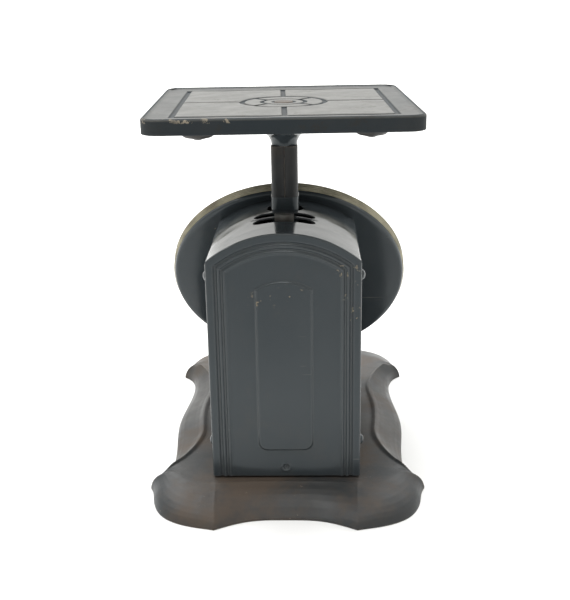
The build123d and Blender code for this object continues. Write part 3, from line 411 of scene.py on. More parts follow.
def platform_enamel():
    """The platform's enamel: a dusty film on the top's flats, with the grooves and rim left darker and less
    glossy as painted shade, and chips on the lip.
    """
    n = Nodes("platform_enamel")
    height = n.times(n.math("SUBTRACT", n.axis(2), platform_high[2] * MM), 1 / MM)
    near_top = n.math("ADD", n.times(height, 0.5), 1.0)
    # painted shade: the film covers only the top's flats, so the grooves and rim stay darker and duller
    dust_film_and_groove_shade = n.ramp(near_top, (0.28, 0.0), (0.4, 1.0))
    rim = n.ramp(near_top, (0.72, 0.0), (0.86, 1.0))
    across = n.math("ABSOLUTE", n.axis(0))
    along = n.math("ABSOLUTE", n.math("SUBTRACT", n.axis(1), STEM_Y * MM))
    border = n.ramp(n.times(n.math("MAXIMUM", across, along), 10.0), (0.58, 0.0), (0.61, 0.45))
    dust_film_and_groove_shade = n.times(dust_film_and_groove_shade, n.math("SUBTRACT", 1.0, rim))
    dust_film_and_groove_shade = n.times(dust_film_and_groove_shade, n.math("SUBTRACT", 1.0, border))
    cloud = n.noise(22, 5, 0.6)
    colour = n.ramp(cloud, (0.3, (0.03, 0.037, 0.042)), (0.7, (0.038, 0.042, 0.044)))
    dusty = n.ramp(n.noise(90, 7, 0.7, shift=3.0), (0.3, (0.055, 0.055, 0.05)), (0.75, (0.085, 0.083, 0.073)))
    colour = n.mix(n.times(dust_film_and_groove_shade, 0.8), colour, dusty)
    scratch = n.math("MAXIMUM", n.scratches(40, 0.67, 0.9), n.scratches(52, 0.69, -0.7))
    colour = n.mix(n.times(n.times(scratch, dust_film_and_groove_shade), 0.35), colour, (0.2, 0.19, 0.17))
    stain = n.ramp(n.noise(75, 8, 0.76, shift=8.0), (0.56, 0.0), (0.66, 1.0))
    colour = n.mix(n.times(stain, 0.5), colour, (0.04, 0.034, 0.026))
    uneven = n.ramp(n.noise(60, 6, 0.72, shift=4.0), (0.58, 0.0), (0.66, 1.0))
    wear = n.times(n.edge_wear(0.0012, 0.93, 0.985), uneven)
    flaked = n.ramp(n.noise(170, 5, 0.7), (0.56, 0.0), (0.59, 1.0))
    corner = n.times(n.patches(PLATFORM_CHIPS, 11.0), flaked)
    lip = n.ramp(n.math("ADD", n.times(height, 0.25), 1.0), (0.3, 0.0), (0.55, 1.0))
    wear = n.math("MAXIMUM", n.times(wear, 0.5), n.times(corner, lip))
    colour = n.mix(wear, colour, (0.3, 0.26, 0.2))
    rough = n.ramp(n.noise(60, 7, 0.72, shift=2.6), (0.3, 0.34), (0.75, 0.45))
    rough = n.mix(n.times(stain, 0.6), rough, (0.55, 0.55, 0.55))
    rough = n.mix(n.math("SUBTRACT", 0.7, n.times(dust_film_and_groove_shade, 0.7)), rough, (0.55, 0.55, 0.55))
    gloss = n.math("ADD", n.times(dust_film_and_groove_shade, 0.4), 0.08)
    n.put(n.shader.inputs["Specular IOR Level"], gloss)
    normal = n.bump(n.noise(70, 5, 0.6), 0.0003, 0.3)
    return n.finish(colour, rough, 0.0, normal, IOR=1.42)


def cast_black():
    n = Nodes("cast_black")
    colour = n.ramp(n.noise(60, 5, 0.6), (0.3, (0.016, 0.017, 0.018)), (0.7, (0.032, 0.03, 0.028)))
    rough = n.ramp(n.noise(90, 4, 0.6), (0.3, 0.38), (0.7, 0.58))
    normal = n.bump(n.noise(520, 5, 0.65), 0.0002, 0.5)
    return n.finish(colour, rough, 0.0, normal, IOR=1.5)


def aged_brass():
    """Khaki brass, dulled and greyed, with brown tarnish in random patches."""
    n = Nodes("aged_brass")
    colour = n.ramp(n.noise(70, 6, 0.65), (0.3, (0.15, 0.14, 0.1)), (0.7, (0.3, 0.28, 0.205)))
    tarnish = n.ramp(n.noise(34, 7, 0.7, shift=3.0), (0.46, 0.0), (0.7, 1.0))
    colour = n.mix(n.times(tarnish, 0.7), colour, (0.11, 0.09, 0.065))
    rough = n.ramp(n.noise(120, 5, 0.65), (0.3, 0.28), (0.75, 0.46))
    normal = n.bump(n.noise(500, 4, 0.6), 0.00006, 0.35)
    return n.finish(colour, rough, 0.8, normal)


def dial_brass():
    """Satin brass plate, brushed in one direction and slightly stained."""
    n = Nodes("dial_brass")
    brushed = n.noise(30, 3, 0.6, stretch=(1, 40, 40))
    colour = n.ramp(brushed, (0.3, (0.56, 0.42, 0.19)), (0.7, (0.72, 0.56, 0.28)))
    stain = n.ramp(n.noise(24, 7, 0.7), (0.5, 0.0), (0.75, 1.0))
    colour = n.mix(n.times(stain, 0.45), colour, (0.3, 0.2, 0.09))
    rough = n.ramp(brushed, (0.3, 0.3), (0.7, 0.44))
    normal = n.bump(brushed, 0.00003, 0.4)
    return n.finish(colour, rough, 0.9, normal)


def dial_ink():
    n = Nodes("dial_ink")
    colour = n.ramp(n.noise(400, 5, 0.7), (0.35, (0.008, 0.008, 0.009)), (0.75, (0.035, 0.03, 0.024)))
    return n.finish(colour, n.ramp(n.noise(300, 3), (0.3, 0.45), (0.7, 0.65)), 0.0)


def clear_glass():
    n = Nodes("clear_glass")
    rough = n.ramp(n.noise(40, 5, 0.7), (0.4, 0.0), (0.8, 0.05))
    colour = n.ramp(n.noise(20, 2), (0.3, (0.97, 0.99, 0.98)), (0.7, (1.0, 1.0, 1.0)))
    return n.finish(colour, rough, 0.0, IOR=1.5, Transmission_Weight=1.0)


def plain_steel(name="plain_steel", dark=(0.2, 0.19, 0.18), light=(0.42, 0.41, 0.39)):
    n = Nodes(name)
    colour = n.ramp(n.noise(80, 5, 0.6), (0.3, dark), (0.7, light))
    rust = n.ramp(n.noise(45, 7, 0.7, shift=2.0), (0.55, 0.0), (0.75, 1.0))
    colour = n.mix(n.times(rust, 0.5), colour, (0.16, 0.09, 0.05))
    rough = n.ramp(n.noise(110, 4, 0.6), (0.3, 0.32), (0.7, 0.5))
    normal = n.bump(n.noise(420, 4, 0.6), 0.00006, 0.4)
    return n.finish(colour, rough, n.ramp(rust, (0.2, 0.9), (0.9, 0.4)), normal)


def pointer_black():
    n = Nodes("pointer_black")
    colour = n.ramp(n.noise(150, 4), (0.3, (0.012, 0.012, 0.013)), (0.7, (0.026, 0.025, 0.024)))
    return n.finish(colour, n.ramp(n.noise(200, 4), (0.3, 0.28), (0.7, 0.42)), 0.0)


MATERIALS = {
    "black_enamel": black_enamel(),
    "worn_enamel": worn_enamel(),
    "platform_enamel": platform_enamel(),
    "cast_black": cast_black(),
    "aged_brass": aged_brass(),
    "dial_brass": dial_brass(),
    "dial_ink": dial_ink(),
    "dial_glass": clear_glass(),
    "plain_steel": plain_steel(),
    "spring_steel": plain_steel("spring_steel", (0.1, 0.105, 0.115), (0.27, 0.27, 0.28)),
    "pointer_black": pointer_black(),
}


def dress(piece, material):
    piece.data.materials.clear()
    piece.data.materials.append(MATERIALS[material])
    return piece


def place(piece, body, slot, material=None, replaces=()):
    """Gives a new piece its finish, its body and the CAD nodes that it stands for."""
    dress(piece, material or slot)
    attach(piece, body)
    if replaces:
        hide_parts(*replaces)
    return piece


# --- base
# points along the side, the corner lobe and half the end of a quarter of the outline
SIDE_STEPS, LOBE_STEPS, FRONT_STEPS = 64, 64, 40
BASE_RINGS = 76
EDGE_RINGS = 14
EDGE_SHARE = 0.12
BASE_SHEET = 1.3
COVERED_DROP = 1.2
# (share of the slope's reach, height) from the edge inwards
SIDE_PROFILE = (
    (0.0, 1.3), (0.03, 2.6), (0.1, 4.4), (0.25, 6.6), (0.45, 8.4), (0.65, 10.0), (0.82, 11.8), (0.92, 13.4),
    (0.97, 13.95), (1.0, 14.0), (1.05, 13.7), (1.13, 12.95), (1.2, 12.8),
)
END_PROFILE = (
    (0.0, 1.3), (0.03, 2.1), (0.1, 3.6), (0.2, 5.8), (0.33, 8.3), (0.47, 10.2), (0.62, 11.6), (0.75, 12.4),
    (0.82, 13.0), (0.86, 13.4), (0.89, 13.3), (0.92, 12.7), (1.0, 12.6),
)
LOBE_PROFILE = (
    (0.0, 1.3), (0.025, 2.9), (0.06, 4.6), (0.12, 6.4), (0.21, 8.2), (0.33, 9.8), (0.48, 11.2), (0.66, 12.2),
    (0.83, 12.7), (1.0, 12.8),
)
RIDGE_REACH = 17.8
LOBE_REACH = 34.0
# what is left of those reaches at the cusp between side and lobe
CUSP_RIDGE = 0.3
CUSP_DOME = 0.5
BUMP_END_SHARE = 0.35
FOOT_CORNER = 6.0
FOOT_GAP_X = 4.0
FOOT_GAP_Y = 2.0


def base_outline():
    """One quarter of the outline, with each point's shares of side and end and the reach of its slopes."""
    x, y = base_high[0], base_high[1]
    middle, waist, cusp = (x - 6.7, 0), (x - 10.4, y - 81), (x, y - 46.5)
    bump, end_side, end = (40, y), (20, y - 9.2), (0, y - 10.6)
    side = clamped_spline((middle, waist, cusp), (0, 1), (0.85, 0.6), SIDE_STEPS)
    lobe = clamped_spline(
        (cusp, (x - 4.2, y - 30), (x - 13, y - 12.5), (x - 31, y - 2.9), bump),
        (-0.5, 0.9), (-0.95, 0.3), LOBE_STEPS,
    )
    front = clamped_spline((bump, end_side, end), (-0.85, -0.5), (-1, 0), FRONT_STEPS)
    points = np.concatenate([side, lobe[1:], front[1:]])
    along_side = np.linspace(0, 1, len(side))
    along_lobe = np.linspace(0, 1, len(lobe))[1:]
    along_front = np.linspace(0, 1, len(front) - 1)
    no_side, no_lobe, no_front = along_side * 0, along_lobe * 0, along_front * 0
    sides = np.concatenate([1 - smoothstep(0.86, 1.0, along_side), no_lobe, no_front])
    lobe_end = smoothstep(0.8, 1.0, along_lobe) * BUMP_END_SHARE
    front_end = BUMP_END_SHARE + (1 - BUMP_END_SHARE) * smoothstep(0.0, 0.5, along_front)
    ends = np.concatenate([no_side, lobe_end, front_end])
    ridge = RIDGE_REACH * (1 - (1 - CUSP_RIDGE) * smoothstep(0.35, 1.0, along_side))
    ridge = np.concatenate([ridge, no_lobe + ridge[-1], no_front + ridge[-1]])
    swell = CUSP_DOME + (1 - CUSP_DOME) * smoothstep(0, 0.6, along_lobe)
    dome = np.concatenate([no_side + CUSP_DOME, swell, no_front + 1])
    return points, np.stack([sides, ends, ridge, dome * LOBE_REACH], 1)


def inner_outline(points):
    """A rounded rectangle just outside the housing's foot, matched point by point to a quarter outline."""
    half_x, half_y = HALF_WIDTH + FOOT_GAP_X, BACK_Y + FOOT_GAP_Y
    start_x, start_y = half_x - FOOT_CORNER, half_y - FOOT_CORNER
    side, lobe, front = np.split(points, (SIDE_STEPS + 1, SIDE_STEPS + 1 + LOBE_STEPS))
    turn = np.linspace(0, math.pi / 2, len(lobe) + 1)[1:]
    side_inner = np.stack([np.full(len(side), half_x), side[:, 1] * start_y / side[-1, 1]], 1)
    corner = np.stack([start_x + FOOT_CORNER * np.cos(turn), start_y + FOOT_CORNER * np.sin(turn)], 1)
    front_inner = np.stack([front[:, 0] * start_x / lobe[-1, 0], np.full(len(front), half_y)], 1)
    return np.concatenate([side_inner, corner, front_inner])


def around(quarter):
    """Four mirrored copies of a quarter, as one closed loop that starts at +X."""
    a = quarter
    b = (quarter * [-1, 1])[::-1][1:]
    c = quarter * [-1, -1]
    d = (quarter * [1, -1])[::-1][1:]
    return np.concatenate([a, b, c[1:], d[:-1]])


def around_weight(weight):
    """The same four copies for values that go with the outline's points."""
    return np.concatenate([weight, weight[::-1][1:], weight[1:], weight[::-1][1:-1]])


def base_height(share, reach, blend):
    """Height of the pressed base a share of the way from its edge to the housing's foot."""
    side, end, ridge, dome = blend.T
    side_z = np.interp(share * reach / ridge, *np.array(SIDE_PROFILE).T)
    end_z = np.interp(share, *np.array(END_PROFILE).T)
    lobe_z = np.interp(share * reach / dome, *np.array(LOBE_PROFILE).T)
    return side * side_z + end * end_z + (1 - side - end) * lobe_z


def base_shell():
    """The pressed base: rings of points from its scalloped edge in to the housing, and its underside."""
    quarter, weight = base_outline()
    outer = around(quarter)
    inner = around(inner_outline(quarter))
    blend = around_weight(weight)
    reach = np.linalg.norm(inner - outer, axis=1)
    edge_shares = np.linspace(0, EDGE_SHARE, EDGE_RINGS, endpoint=False)
    shares = np.concatenate([edge_shares, np.linspace(EDGE_SHARE, 1, BASE_RINGS - EDGE_RINGS)])
    rings = []
    for share in shares:
        flat = outer + (inner - outer) * share
        rings.append(np.column_stack([flat, base_height(share, reach, blend)]))
    for scale in (0.75, 0.45, 0.15):
        rings.append(np.column_stack([inner * scale, np.full(len(inner), BASE_TOP - COVERED_DROP)]))
    top = np.array(rings)
    under = top.copy()
    under[:, :, 2] -= BASE_SHEET
    pull = (inner - outer) / reach[:, None]
    for index in range(BASE_RINGS):
        under[index, :, :2] += pull * BASE_SHEET * (1 - shares[index])
    foot_outer = top[0].copy()
    foot_outer[:, 2] = 0
    foot_inner = under[0].copy()
    foot_inner[:, 2] = 0
    rows = np.concatenate([top[::-1], foot_outer[None], foot_inner[None], under])
    count = rows.shape[1]
    vertices = rows.reshape(-1, 3)
    faces = grid_faces(len(rows), count, False, True) + end_caps(count, len(vertices), flip=True)
    piece = new_object("pressed_base", vertices, faces, sharp=50)
    return place(piece, "housing", "worn_enamel", replaces=["base"])


# --- housing
def arch_profile(inset, side_steps=40, roof_steps=120):
    """Points (x, z) of the arched outline from the left foot over the roof to the right foot."""
    half = HALF_WIDTH - inset
    radius = ARCH_RADIUS - inset
    centre_z = CROWN - ARCH_RADIUS
    corner = max(SHOULDER_RADIUS - inset, 0.8)
    corner_x = half - corner
    corner_z = centre_z + math.sqrt((radius - corner) ** 2 - corner_x**2)
    meet = math.atan2(corner_z - centre_z, corner_x)
    left = [(-half, z) for z in np.linspace(BASE_TOP, corner_z, side_steps, endpoint=False)]
    turn = arc((-corner_x, corner_z), corner, 180, 180 - math.degrees(meet), 10)
    roof_angles = np.linspace(math.pi - meet, meet, roof_steps)[1:-1]
    roof = [(radius * math.cos(a), centre_z + radius * math.sin(a)) for a in roof_angles]
    profile = left + turn + roof
    mirrored = [(-x, z) for x, z in (left + turn)[::-1]]
    return np.array(profile + mirrored)


def dial_plane_y(z):
    """Y of the slanted front plane at a height."""
    return DIAL_CENTRE[1] + (z - DIAL_CENTRE[2]) * math.tan(TILT)


def prism(outline, low, high):
    """A closed vertical prism over a flat outline of (x, y) points."""
    outline = np.asarray(outline, float)
    count = len(outline)
    bottom = np.column_stack([outline, np.full(count, low)])
    top = np.column_stack([outline, np.full(count, high)])
    faces = grid_faces(2, count, False, True) + end_caps(count, 2 * count)
    return np.concatenate([bottom, top]), faces


def stadium(centre_y, length, width, steps=20):
    """The outline of a round-ended slot across the roof."""
    right = arc(((length - width) / 2, centre_y), width / 2, -90, 90, steps)
    left = arc(((width - length) / 2, centre_y), width / 2, 90, 270, steps)
    return right + left


def circle(centre, radius, steps=64):
    return arc(centre, radius, 0, 360, steps + 1)[:-1]


def cut(piece, cutters):
    """Cuts closed meshes out of a piece, applies the result and removes the cutters."""
    for tool in cutters:
        modifier = piece.modifiers.new("cut", "BOOLEAN")
        modifier.operation = "DIFFERENCE"
        modifier.solver = "EXACT"
        modifier.object = tool
    bpy.context.view_layer.update()
    done = bpy.data.meshes.new_from_object(piece.evaluated_get(bpy.context.evaluated_depsgraph_get()))
    piece.modifiers.clear()
    piece.data = done
    for tool in cutters:
        bpy.data.objects.remove(tool)
    return piece


STEM_HOLE_RADIUS = 11.0
SLOT_LENGTH = 36.0
SLOT_WIDTH = 11.0
SLOT_STEP = 13.0
FIRST_SLOT = 17.9
ZERO_HOLE_RADIUS = 1.6
BRIDGE_RISE = 0.3
BRIDGE_WIDTH = 4.0
CUT_BELOW = 12
CUT_ABOVE = 10


def housing_shell():
    """Side walls and roof in one sheet, a little wavy, with the roof openings cut through."""
    outer = arch_profile(0)
    inner = arch_profile(SHEET)
    bridge_y = STEM_Y + FIRST_SLOT + SLOT_STEP / 2
    shares = np.unique(np.concatenate([np.linspace(0, 1, 60), np.linspace(0.5, 0.88, 90)]))
    rows = []
    for profile in (outer, inner):
        front = dial_plane_y(profile[:, 1])
        for share in shares:
            y = front + (BACK_Y - SHEET - front) * share
            x, z = profile.T
            wave = 0.10 * np.sin(y * 0.11 + x * 0.05) + 0.07 * np.sin(y * 0.23 - x * 0.13)
            wave = wave * math.sin(math.pi * share) * smoothstep(CROWN - 14, CROWN - 9, z)
            bridge = BRIDGE_RISE * bump_line(y - bridge_y, BRIDGE_WIDTH) * smoothstep(20, 17, abs(x))
            rows.append(np.column_stack([x, y, z - abs(wave) * 0.8 + bridge * (z > CROWN - 8)]))
    piece = new_object("housing_wrap", np.concatenate(rows), sheet_faces(len(shares), len(outer)))
    low, high = CROWN - CUT_BELOW, CROWN + CUT_ABOVE
    holes = {"cut_stem": circle((0, STEM_Y), STEM_HOLE_RADIUS)}
    for index in range(2):
        y = STEM_Y + FIRST_SLOT + index * SLOT_STEP
        holes[f"cut_slot_{index}"] = stadium(y, SLOT_LENGTH, SLOT_WIDTH)
    screw_low, screw_high = box_mm("zero_screw")
    holes["cut_screw"] = circle((0, (screw_low[1] + screw_high[1]) / 2), ZERO_HOLE_RADIUS, 24)
    cut(piece, [new_object(name, *prism(hole, low, high), smooth=False) for name, hole in holes.items()])
    piece.data.polygons.foreach_set("use_smooth", [True] * len(piece.data.polygons))
    piece.data.set_sharp_from_angle(angle=math.radians(35))
    return place(piece, "housing", "black_enamel", replaces=["housing_shell"])


# --- back panel
# the raised middle panel and the small drain hole below it
PANEL_HALF = 15.5
PANEL_BOTTOM = 31.0
PANEL_TOP = 133.0
PANEL_RISE = 4.5
PANEL_CORNER = 5.0
DRAIN_Z = 19.6
DRAIN_RADIUS = 1.5
# (distance in from the edge, width, height) of the frame's grooves and beads
FRAME_LINES = ((5.5, 2.9, -0.9), (7.3, 2.2, 0.5), (8.9, 2.1, -0.5), (10.4, 2.1, 0.42))
PANEL_EDGE_RADIUS = 1.1
PANEL_EDGE_DROP = 0.85


def panel_top(x):
    """Height of the back panel's arched top edge, with its rounded shoulders."""
    centre_z = CROWN - ARCH_RADIUS
    corner_x = HALF_WIDTH - SHOULDER_RADIUS
    corner_z = centre_z + math.sqrt((ARCH_RADIUS - SHOULDER_RADIUS) ** 2 - corner_x**2)
    meet_x = ARCH_RADIUS * math.cos(math.atan2(corner_z - centre_z, corner_x))
    roof = centre_z + np.sqrt(ARCH_RADIUS**2 - x**2)
    corner = corner_z + np.sqrt(np.clip(SHOULDER_RADIUS**2 - (abs(x) - corner_x) ** 2, 0, None))
    return np.where(abs(x) > meet_x, corner, roof)


def panel_inset(x, z):
    """Distance inwards from the sides and arch of the back panel, ignoring its open foot."""
    centre_z = CROWN - ARCH_RADIUS
    side = HALF_WIDTH - abs(x)
    roof = ARCH_RADIUS - np.hypot(x, np.maximum(z - centre_z, 0))
    return np.minimum(side, roof)


def centre_panel_distance(x, z):
    """Signed distance to the raised panel's outline, negative inside."""
    rise_radius = (PANEL_HALF**2 + PANEL_RISE**2) / (2 * PANEL_RISE)
    arch = np.hypot(x, np.maximum(z - (PANEL_TOP - rise_radius), 0)) - rise_radius
    half_z = (PANEL_TOP - PANEL_BOTTOM) / 2 + 10
    middle = PANEL_BOTTOM + half_z
    qx = abs(x) - (PANEL_HALF - PANEL_CORNER)
    qz = abs(z - middle) - (half_z - PANEL_CORNER)
    rounded = np.hypot(np.maximum(qx, 0), np.maximum(qz, 0)) - PANEL_CORNER
    rounded = rounded + np.minimum(np.maximum(qx, qz), 0)
    plain = np.maximum(abs(x) - PANEL_HALF, PANEL_BOTTOM - z)
    low_part = np.where(z < PANEL_BOTTOM + PANEL_CORNER, rounded, plain)
    return np.maximum(low_part, arch)


def panel_relief(x, z):
    """How far the pressed panel stands out from its flat border."""
    inset = panel_inset(x, z)
    relief = -0.3 * smoothstep(10.6, 12.6, inset)
    for middle, width, height in FRAME_LINES:
        relief = relief + height * bump_line(inset - middle, width)
    distance = centre_panel_distance(x, z)
    relief = relief + 0.9 * (1 - smoothstep(-0.6, 0.6, distance))
    drain = np.hypot(x, z - DRAIN_Z)
    relief = relief + 0.3 * bump_line(drain - 2.4, 2.2) * (drain > 1.0)
    relief = relief - 0.9 * (1 - smoothstep(DRAIN_RADIUS - 0.35, DRAIN_RADIUS + 0.15, drain))
    sag = 0.12 * np.sin(x * 0.06 + 0.4) * np.sin(z * 0.035)
    return np.clip(relief + sag * smoothstep(12, 20, inset), -1.2, PRESSING)


def back_panel():
    """The pressed panel as a fine grid of points that follows its arched outline."""
    columns, row_count = 321, 481
    edge = np.linspace(-1, 1, columns)
    x = HALF_WIDTH * np.sin(edge * math.pi / 2) * 0.18 + HALF_WIDTH * edge * 0.82
    top = panel_top(x)
    share = np.linspace(0, 1, row_count)[:, None]
    z = BASE_TOP + (top - BASE_TOP)[None, :] * share
    xx = np.broadcast_to(x, z.shape)
    from_edge = 1 - np.minimum(panel_inset(xx, z), PANEL_EDGE_RADIUS) / PANEL_EDGE_RADIUS
    edge_drop = PANEL_EDGE_DROP * (1 - np.sqrt(np.clip(1 - from_edge**2, 0, 1)))
    outside = np.stack([xx, BACK_Y + panel_relief(xx, z) - edge_drop, z], 2)
    inside = outside.copy()
    inside[:, :, 1] = np.minimum(outside[:, :, 1] - SHEET * 0.8, BACK_Y - SHEET * 0.8)
    vertices = np.concatenate([outside.reshape(-1, 3), inside.reshape(-1, 3)])
    faces = sheet_faces(row_count, columns)
    piece = new_object("pressed_back_panel", vertices, faces, sharp=60)
    return place(piece, "housing", "black_enamel", replaces=["back_panel"])


# --- cross rods
AXIS_GAP = 0.01
ROD_RADIUS = 1.5


def check_rod(name):
    """A cross rod with a domed, slightly flattened head on each outer side."""
    low, high = box_mm(name)
    centre_y, centre_z = (low[1] + high[1]) / 2, (low[2] + high[2]) / 2
    head = (high[1] - low[1]) / 2
    reach = high[0]
    crown = reach - HALF_WIDTH
    dome = [
        (head * math.cos(a), HALF_WIDTH + 0.5 + (crown - 0.5) * math.sin(a))
        for a in np.radians(np.linspace(0, 88, 14))
    ]
    shank = [(AXIS_GAP, 0.0), (ROD_RADIUS, 0.0), (ROD_RADIUS, HALF_WIDTH)]
    half = shank + [(head - 0.1, HALF_WIDTH), (head, HALF_WIDTH + 0.2)] + dome + [(AXIS_GAP, reach)]
    profile = [(r, -z) for r, z in half[::-1]][:-1] + half[1:]
    points, faces = revolve(profile, 40, False)
    turned = np.column_stack([points[:, 2], points[:, 0] + centre_y, points[:, 1] + centre_z])
    piece = new_object(name + "_headed", turned, faces, sharp=50)
    return place(piece, "housing", "black_enamel", replaces=[name])


# --- dial
# heights above the dish's back, out of the dial
DISH_DEPTH = 7.0
BEZEL_START = 2.6
BEZEL_FRONT = 10.2
FACE_FRONT = 4.0
INK = 0.05
GLASS_BACK = BEZEL_FRONT - 2.35
GLASS_FRONT = BEZEL_FRONT - 0.55
BEZEL_OPENING = 71.0
BEADS = ((1.35, 0.8), (1.2, 0.75), (1.2, 0.8), (1.35, 0.9))
BEAD_GAP = 0.42
BEAD_STEPS = 9
POUNDS = 24


def dial_dish():
    """The back dish: a shallow pan with a rounded edge and rim."""
    r = DISH_RADIUS
    outside = [(AXIS_GAP, 0.0), (20, 0.0), (50, 0.0), (r - 3.2, 0.0)]
    outside += arc((r - 2, 2), 2, -75, 0, 10) + [(r, DISH_DEPTH)]
    inside = [(r - SHEET, DISH_DEPTH)] + arc((r - 2, 2), 2 - SHEET, 0, -75, 8)
    inside += [(r - 4, SHEET), (50, SHEET), (AXIS_GAP, SHEET)]
    points, faces = revolve(outside + inside, 256, False)
    piece = new_object("dial_back_dish", in_dial_plane(points), faces, sharp=50)
    return place(piece, "housing", "black_enamel", replaces=["dial_dish"])


def bezel():
    """The brass bezel: four beads of different fullness round its edge and a rolled front."""
    wall = DISH_RADIUS + 0.05
    outside = [(DISH_RADIUS + 0.02, BEZEL_START), (wall, BEZEL_START)]
    z = BEZEL_START + 0.2
    for width, height in BEADS:
        for share in np.arange(BEAD_STEPS + 1) / BEAD_STEPS:
            outside.append((wall + height * math.sin(math.pi * share) ** 0.75, z + width * share))
        z += width + BEAD_GAP
    lip = arc((DISH_RADIUS - 1.2, BEZEL_FRONT - 1.3), 1.3, 60, 90, 6)
    front = [(DISH_RADIUS - 3.5, BEZEL_FRONT - 0.35), (BEZEL_OPENING + 0.6, BEZEL_FRONT - 0.1)]
    rolled = arc((BEZEL_OPENING + 0.45, BEZEL_FRONT - 0.45), 0.45, 90, 270, 8)
    inside = [(DISH_RADIUS, BEZEL_FRONT - 0.9), (DISH_RADIUS + 0.02, BEZEL_FRONT - 1.4)]
    points, faces = revolve(outside + lip + front + rolled + inside, 320, True)
    piece = new_object("beaded_bezel", in_dial_plane(points), faces, sharp=70)
    return place(piece, "housing", "aged_brass", replaces=["bezel"])


def dial_ring(inner, outer, z, steps=180):
    """A thin flat printed ring just in front of the dial face."""
    profile = [(inner, z), (outer, z), (outer, z + INK), (inner, z + INK)]
    return revolve(profile, steps)


def dial_bar(angle, inner, outer, width, z):
    """One graduation line at a clockwise angle from the top of the dial."""
    along = np.array([math.sin(angle), math.cos(angle)])
    across = np.array([along[1], -along[0]])
    ends = ((inner, -1), (inner, 1), (outer, 1), (outer, -1))
    corners = [along * r + across * width / 2 * side for r, side in ends]
    low = [(*corner, z) for corner in corners]
    high = [(*corner, z + INK) for corner in corners]
    faces = [(0, 3, 2, 1), (4, 5, 6, 7), (0, 1, 5, 4), (1, 2, 6, 5), (2, 3, 7, 6), (3, 0, 4, 7)]
    return np.array(low + high), faces


def joined(parts):
    """Several (vertices, faces) pairs as one."""
    vertices, faces, start = [], [], 0
    for points, quads in parts:
        vertices.append(points)
        faces += [tuple(index + start for index in face) for face in quads]
        start += len(points)
    return np.concatenate(vertices), faces


def numeral(text, angle, radius, size, z):
    """A flat printed number, upright when its place on the dial is turned to the top."""
    curve = bpy.data.curves.new("numeral", "FONT")
    curve.body = text
    curve.size = size
    curve.extrude = INK / 2
    curve.offset = 0.12
    curve.align_x = "CENTER"
    curve.align_y = "CENTER"
    curve.resolution_u = 3
    holder = bpy.data.objects.new("numeral", curve)
    bpy.context.scene.collection.objects.link(holder)
    bpy.context.view_layer.update()
    mesh = bpy.data.meshes.new_from_object(holder.evaluated_get(bpy.context.evaluated_depsgraph_get()))
    shift = Matrix.Translation((radius * math.sin(angle), radius * math.cos(angle), z))
    spin = shift @ Matrix.Rotation(-angle, 4, "Z")
    points = np.array([spin @ v.co for v in mesh.vertices])
    faces = [tuple(p.vertices) for p in mesh.polygons]
    bpy.data.objects.remove(holder)
    bpy.data.curves.remove(curve)
    bpy.data.meshes.remove(mesh)
    return points, faces


def dial_face():
    """The brass face with a printed ring of ounce and pound marks and numbers."""
    low, high = FACE_FRONT - 0.6, FACE_FRONT
    outer = DISH_RADIUS - SHEET - 0.1
    groove = [(30, high), (29.4, high - 0.25), (28.8, high)]
    plate = [(2.5, low), (outer, low), (outer, high)] + groove + [(2.5, high)]
    points, faces = revolve(plate, 200)
    face = new_object("dial_plate", in_dial_plane(points), faces, sharp=40)
    place(face, "housing", "dial_brass", replaces=["dial_face"])
    z = FACE_FRONT + 0.02
    rings = ((69.2, 69.7), (62.2, 62.6), (60.9, 61.2), (36.0, 36.4))
    parts = [dial_ring(inner, ring_outer, z) for inner, ring_outer in rings]
    marks = POUNDS * 16
    for index in range(marks):
        angle = 2 * math.pi * index / marks
        if index % 16 == 0:
            parts.append(dial_bar(angle, 58.0, 69.2, 0.55, z))
        elif index % 8 == 0:
            parts.append(dial_bar(angle, 61.0, 69.2, 0.35, z))
        elif index % 4 == 0:
            parts.append(dial_bar(angle, 62.4, 67.6, 0.25, z))
        else:
            parts.append(dial_bar(angle, 62.4, 65.6, 0.16, z))
    for pound in range(POUNDS):
        parts.append(numeral(str(pound), 2 * math.pi * pound / POUNDS, 52.5, 8.6, z))
    points, faces = joined(parts)
    print_piece = new_object("dial_printing", in_dial_plane(points), faces, smooth=False)
    place(print_piece, "housing", "pointer_black", "dial_ink")


def dial_glass():
    radius, chamfer = DISH_RADIUS - 0.3, 0.3
    back = [(AXIS_GAP, GLASS_BACK), (radius - chamfer, GLASS_BACK), (radius, GLASS_BACK + chamfer)]
    front = [(radius, GLASS_FRONT - chamfer), (radius - chamfer, GLASS_FRONT), (AXIS_GAP, GLASS_FRONT)]
    points, faces = revolve(back + front, 200, False)
    piece = new_object("flat_dial_glass", in_dial_plane(points), faces, sharp=30)
    return place(piece, "housing", "dial_glass", replaces=["dial_glass"])


HAND_BACK = 5.4
HAND_TIP = 62
HAND_TAIL = -18
HAND_DISC = -15.5
HAND_HUB = 4.4
HAND_HALF = 2.5
HAND_TIP_HALF = 0.35


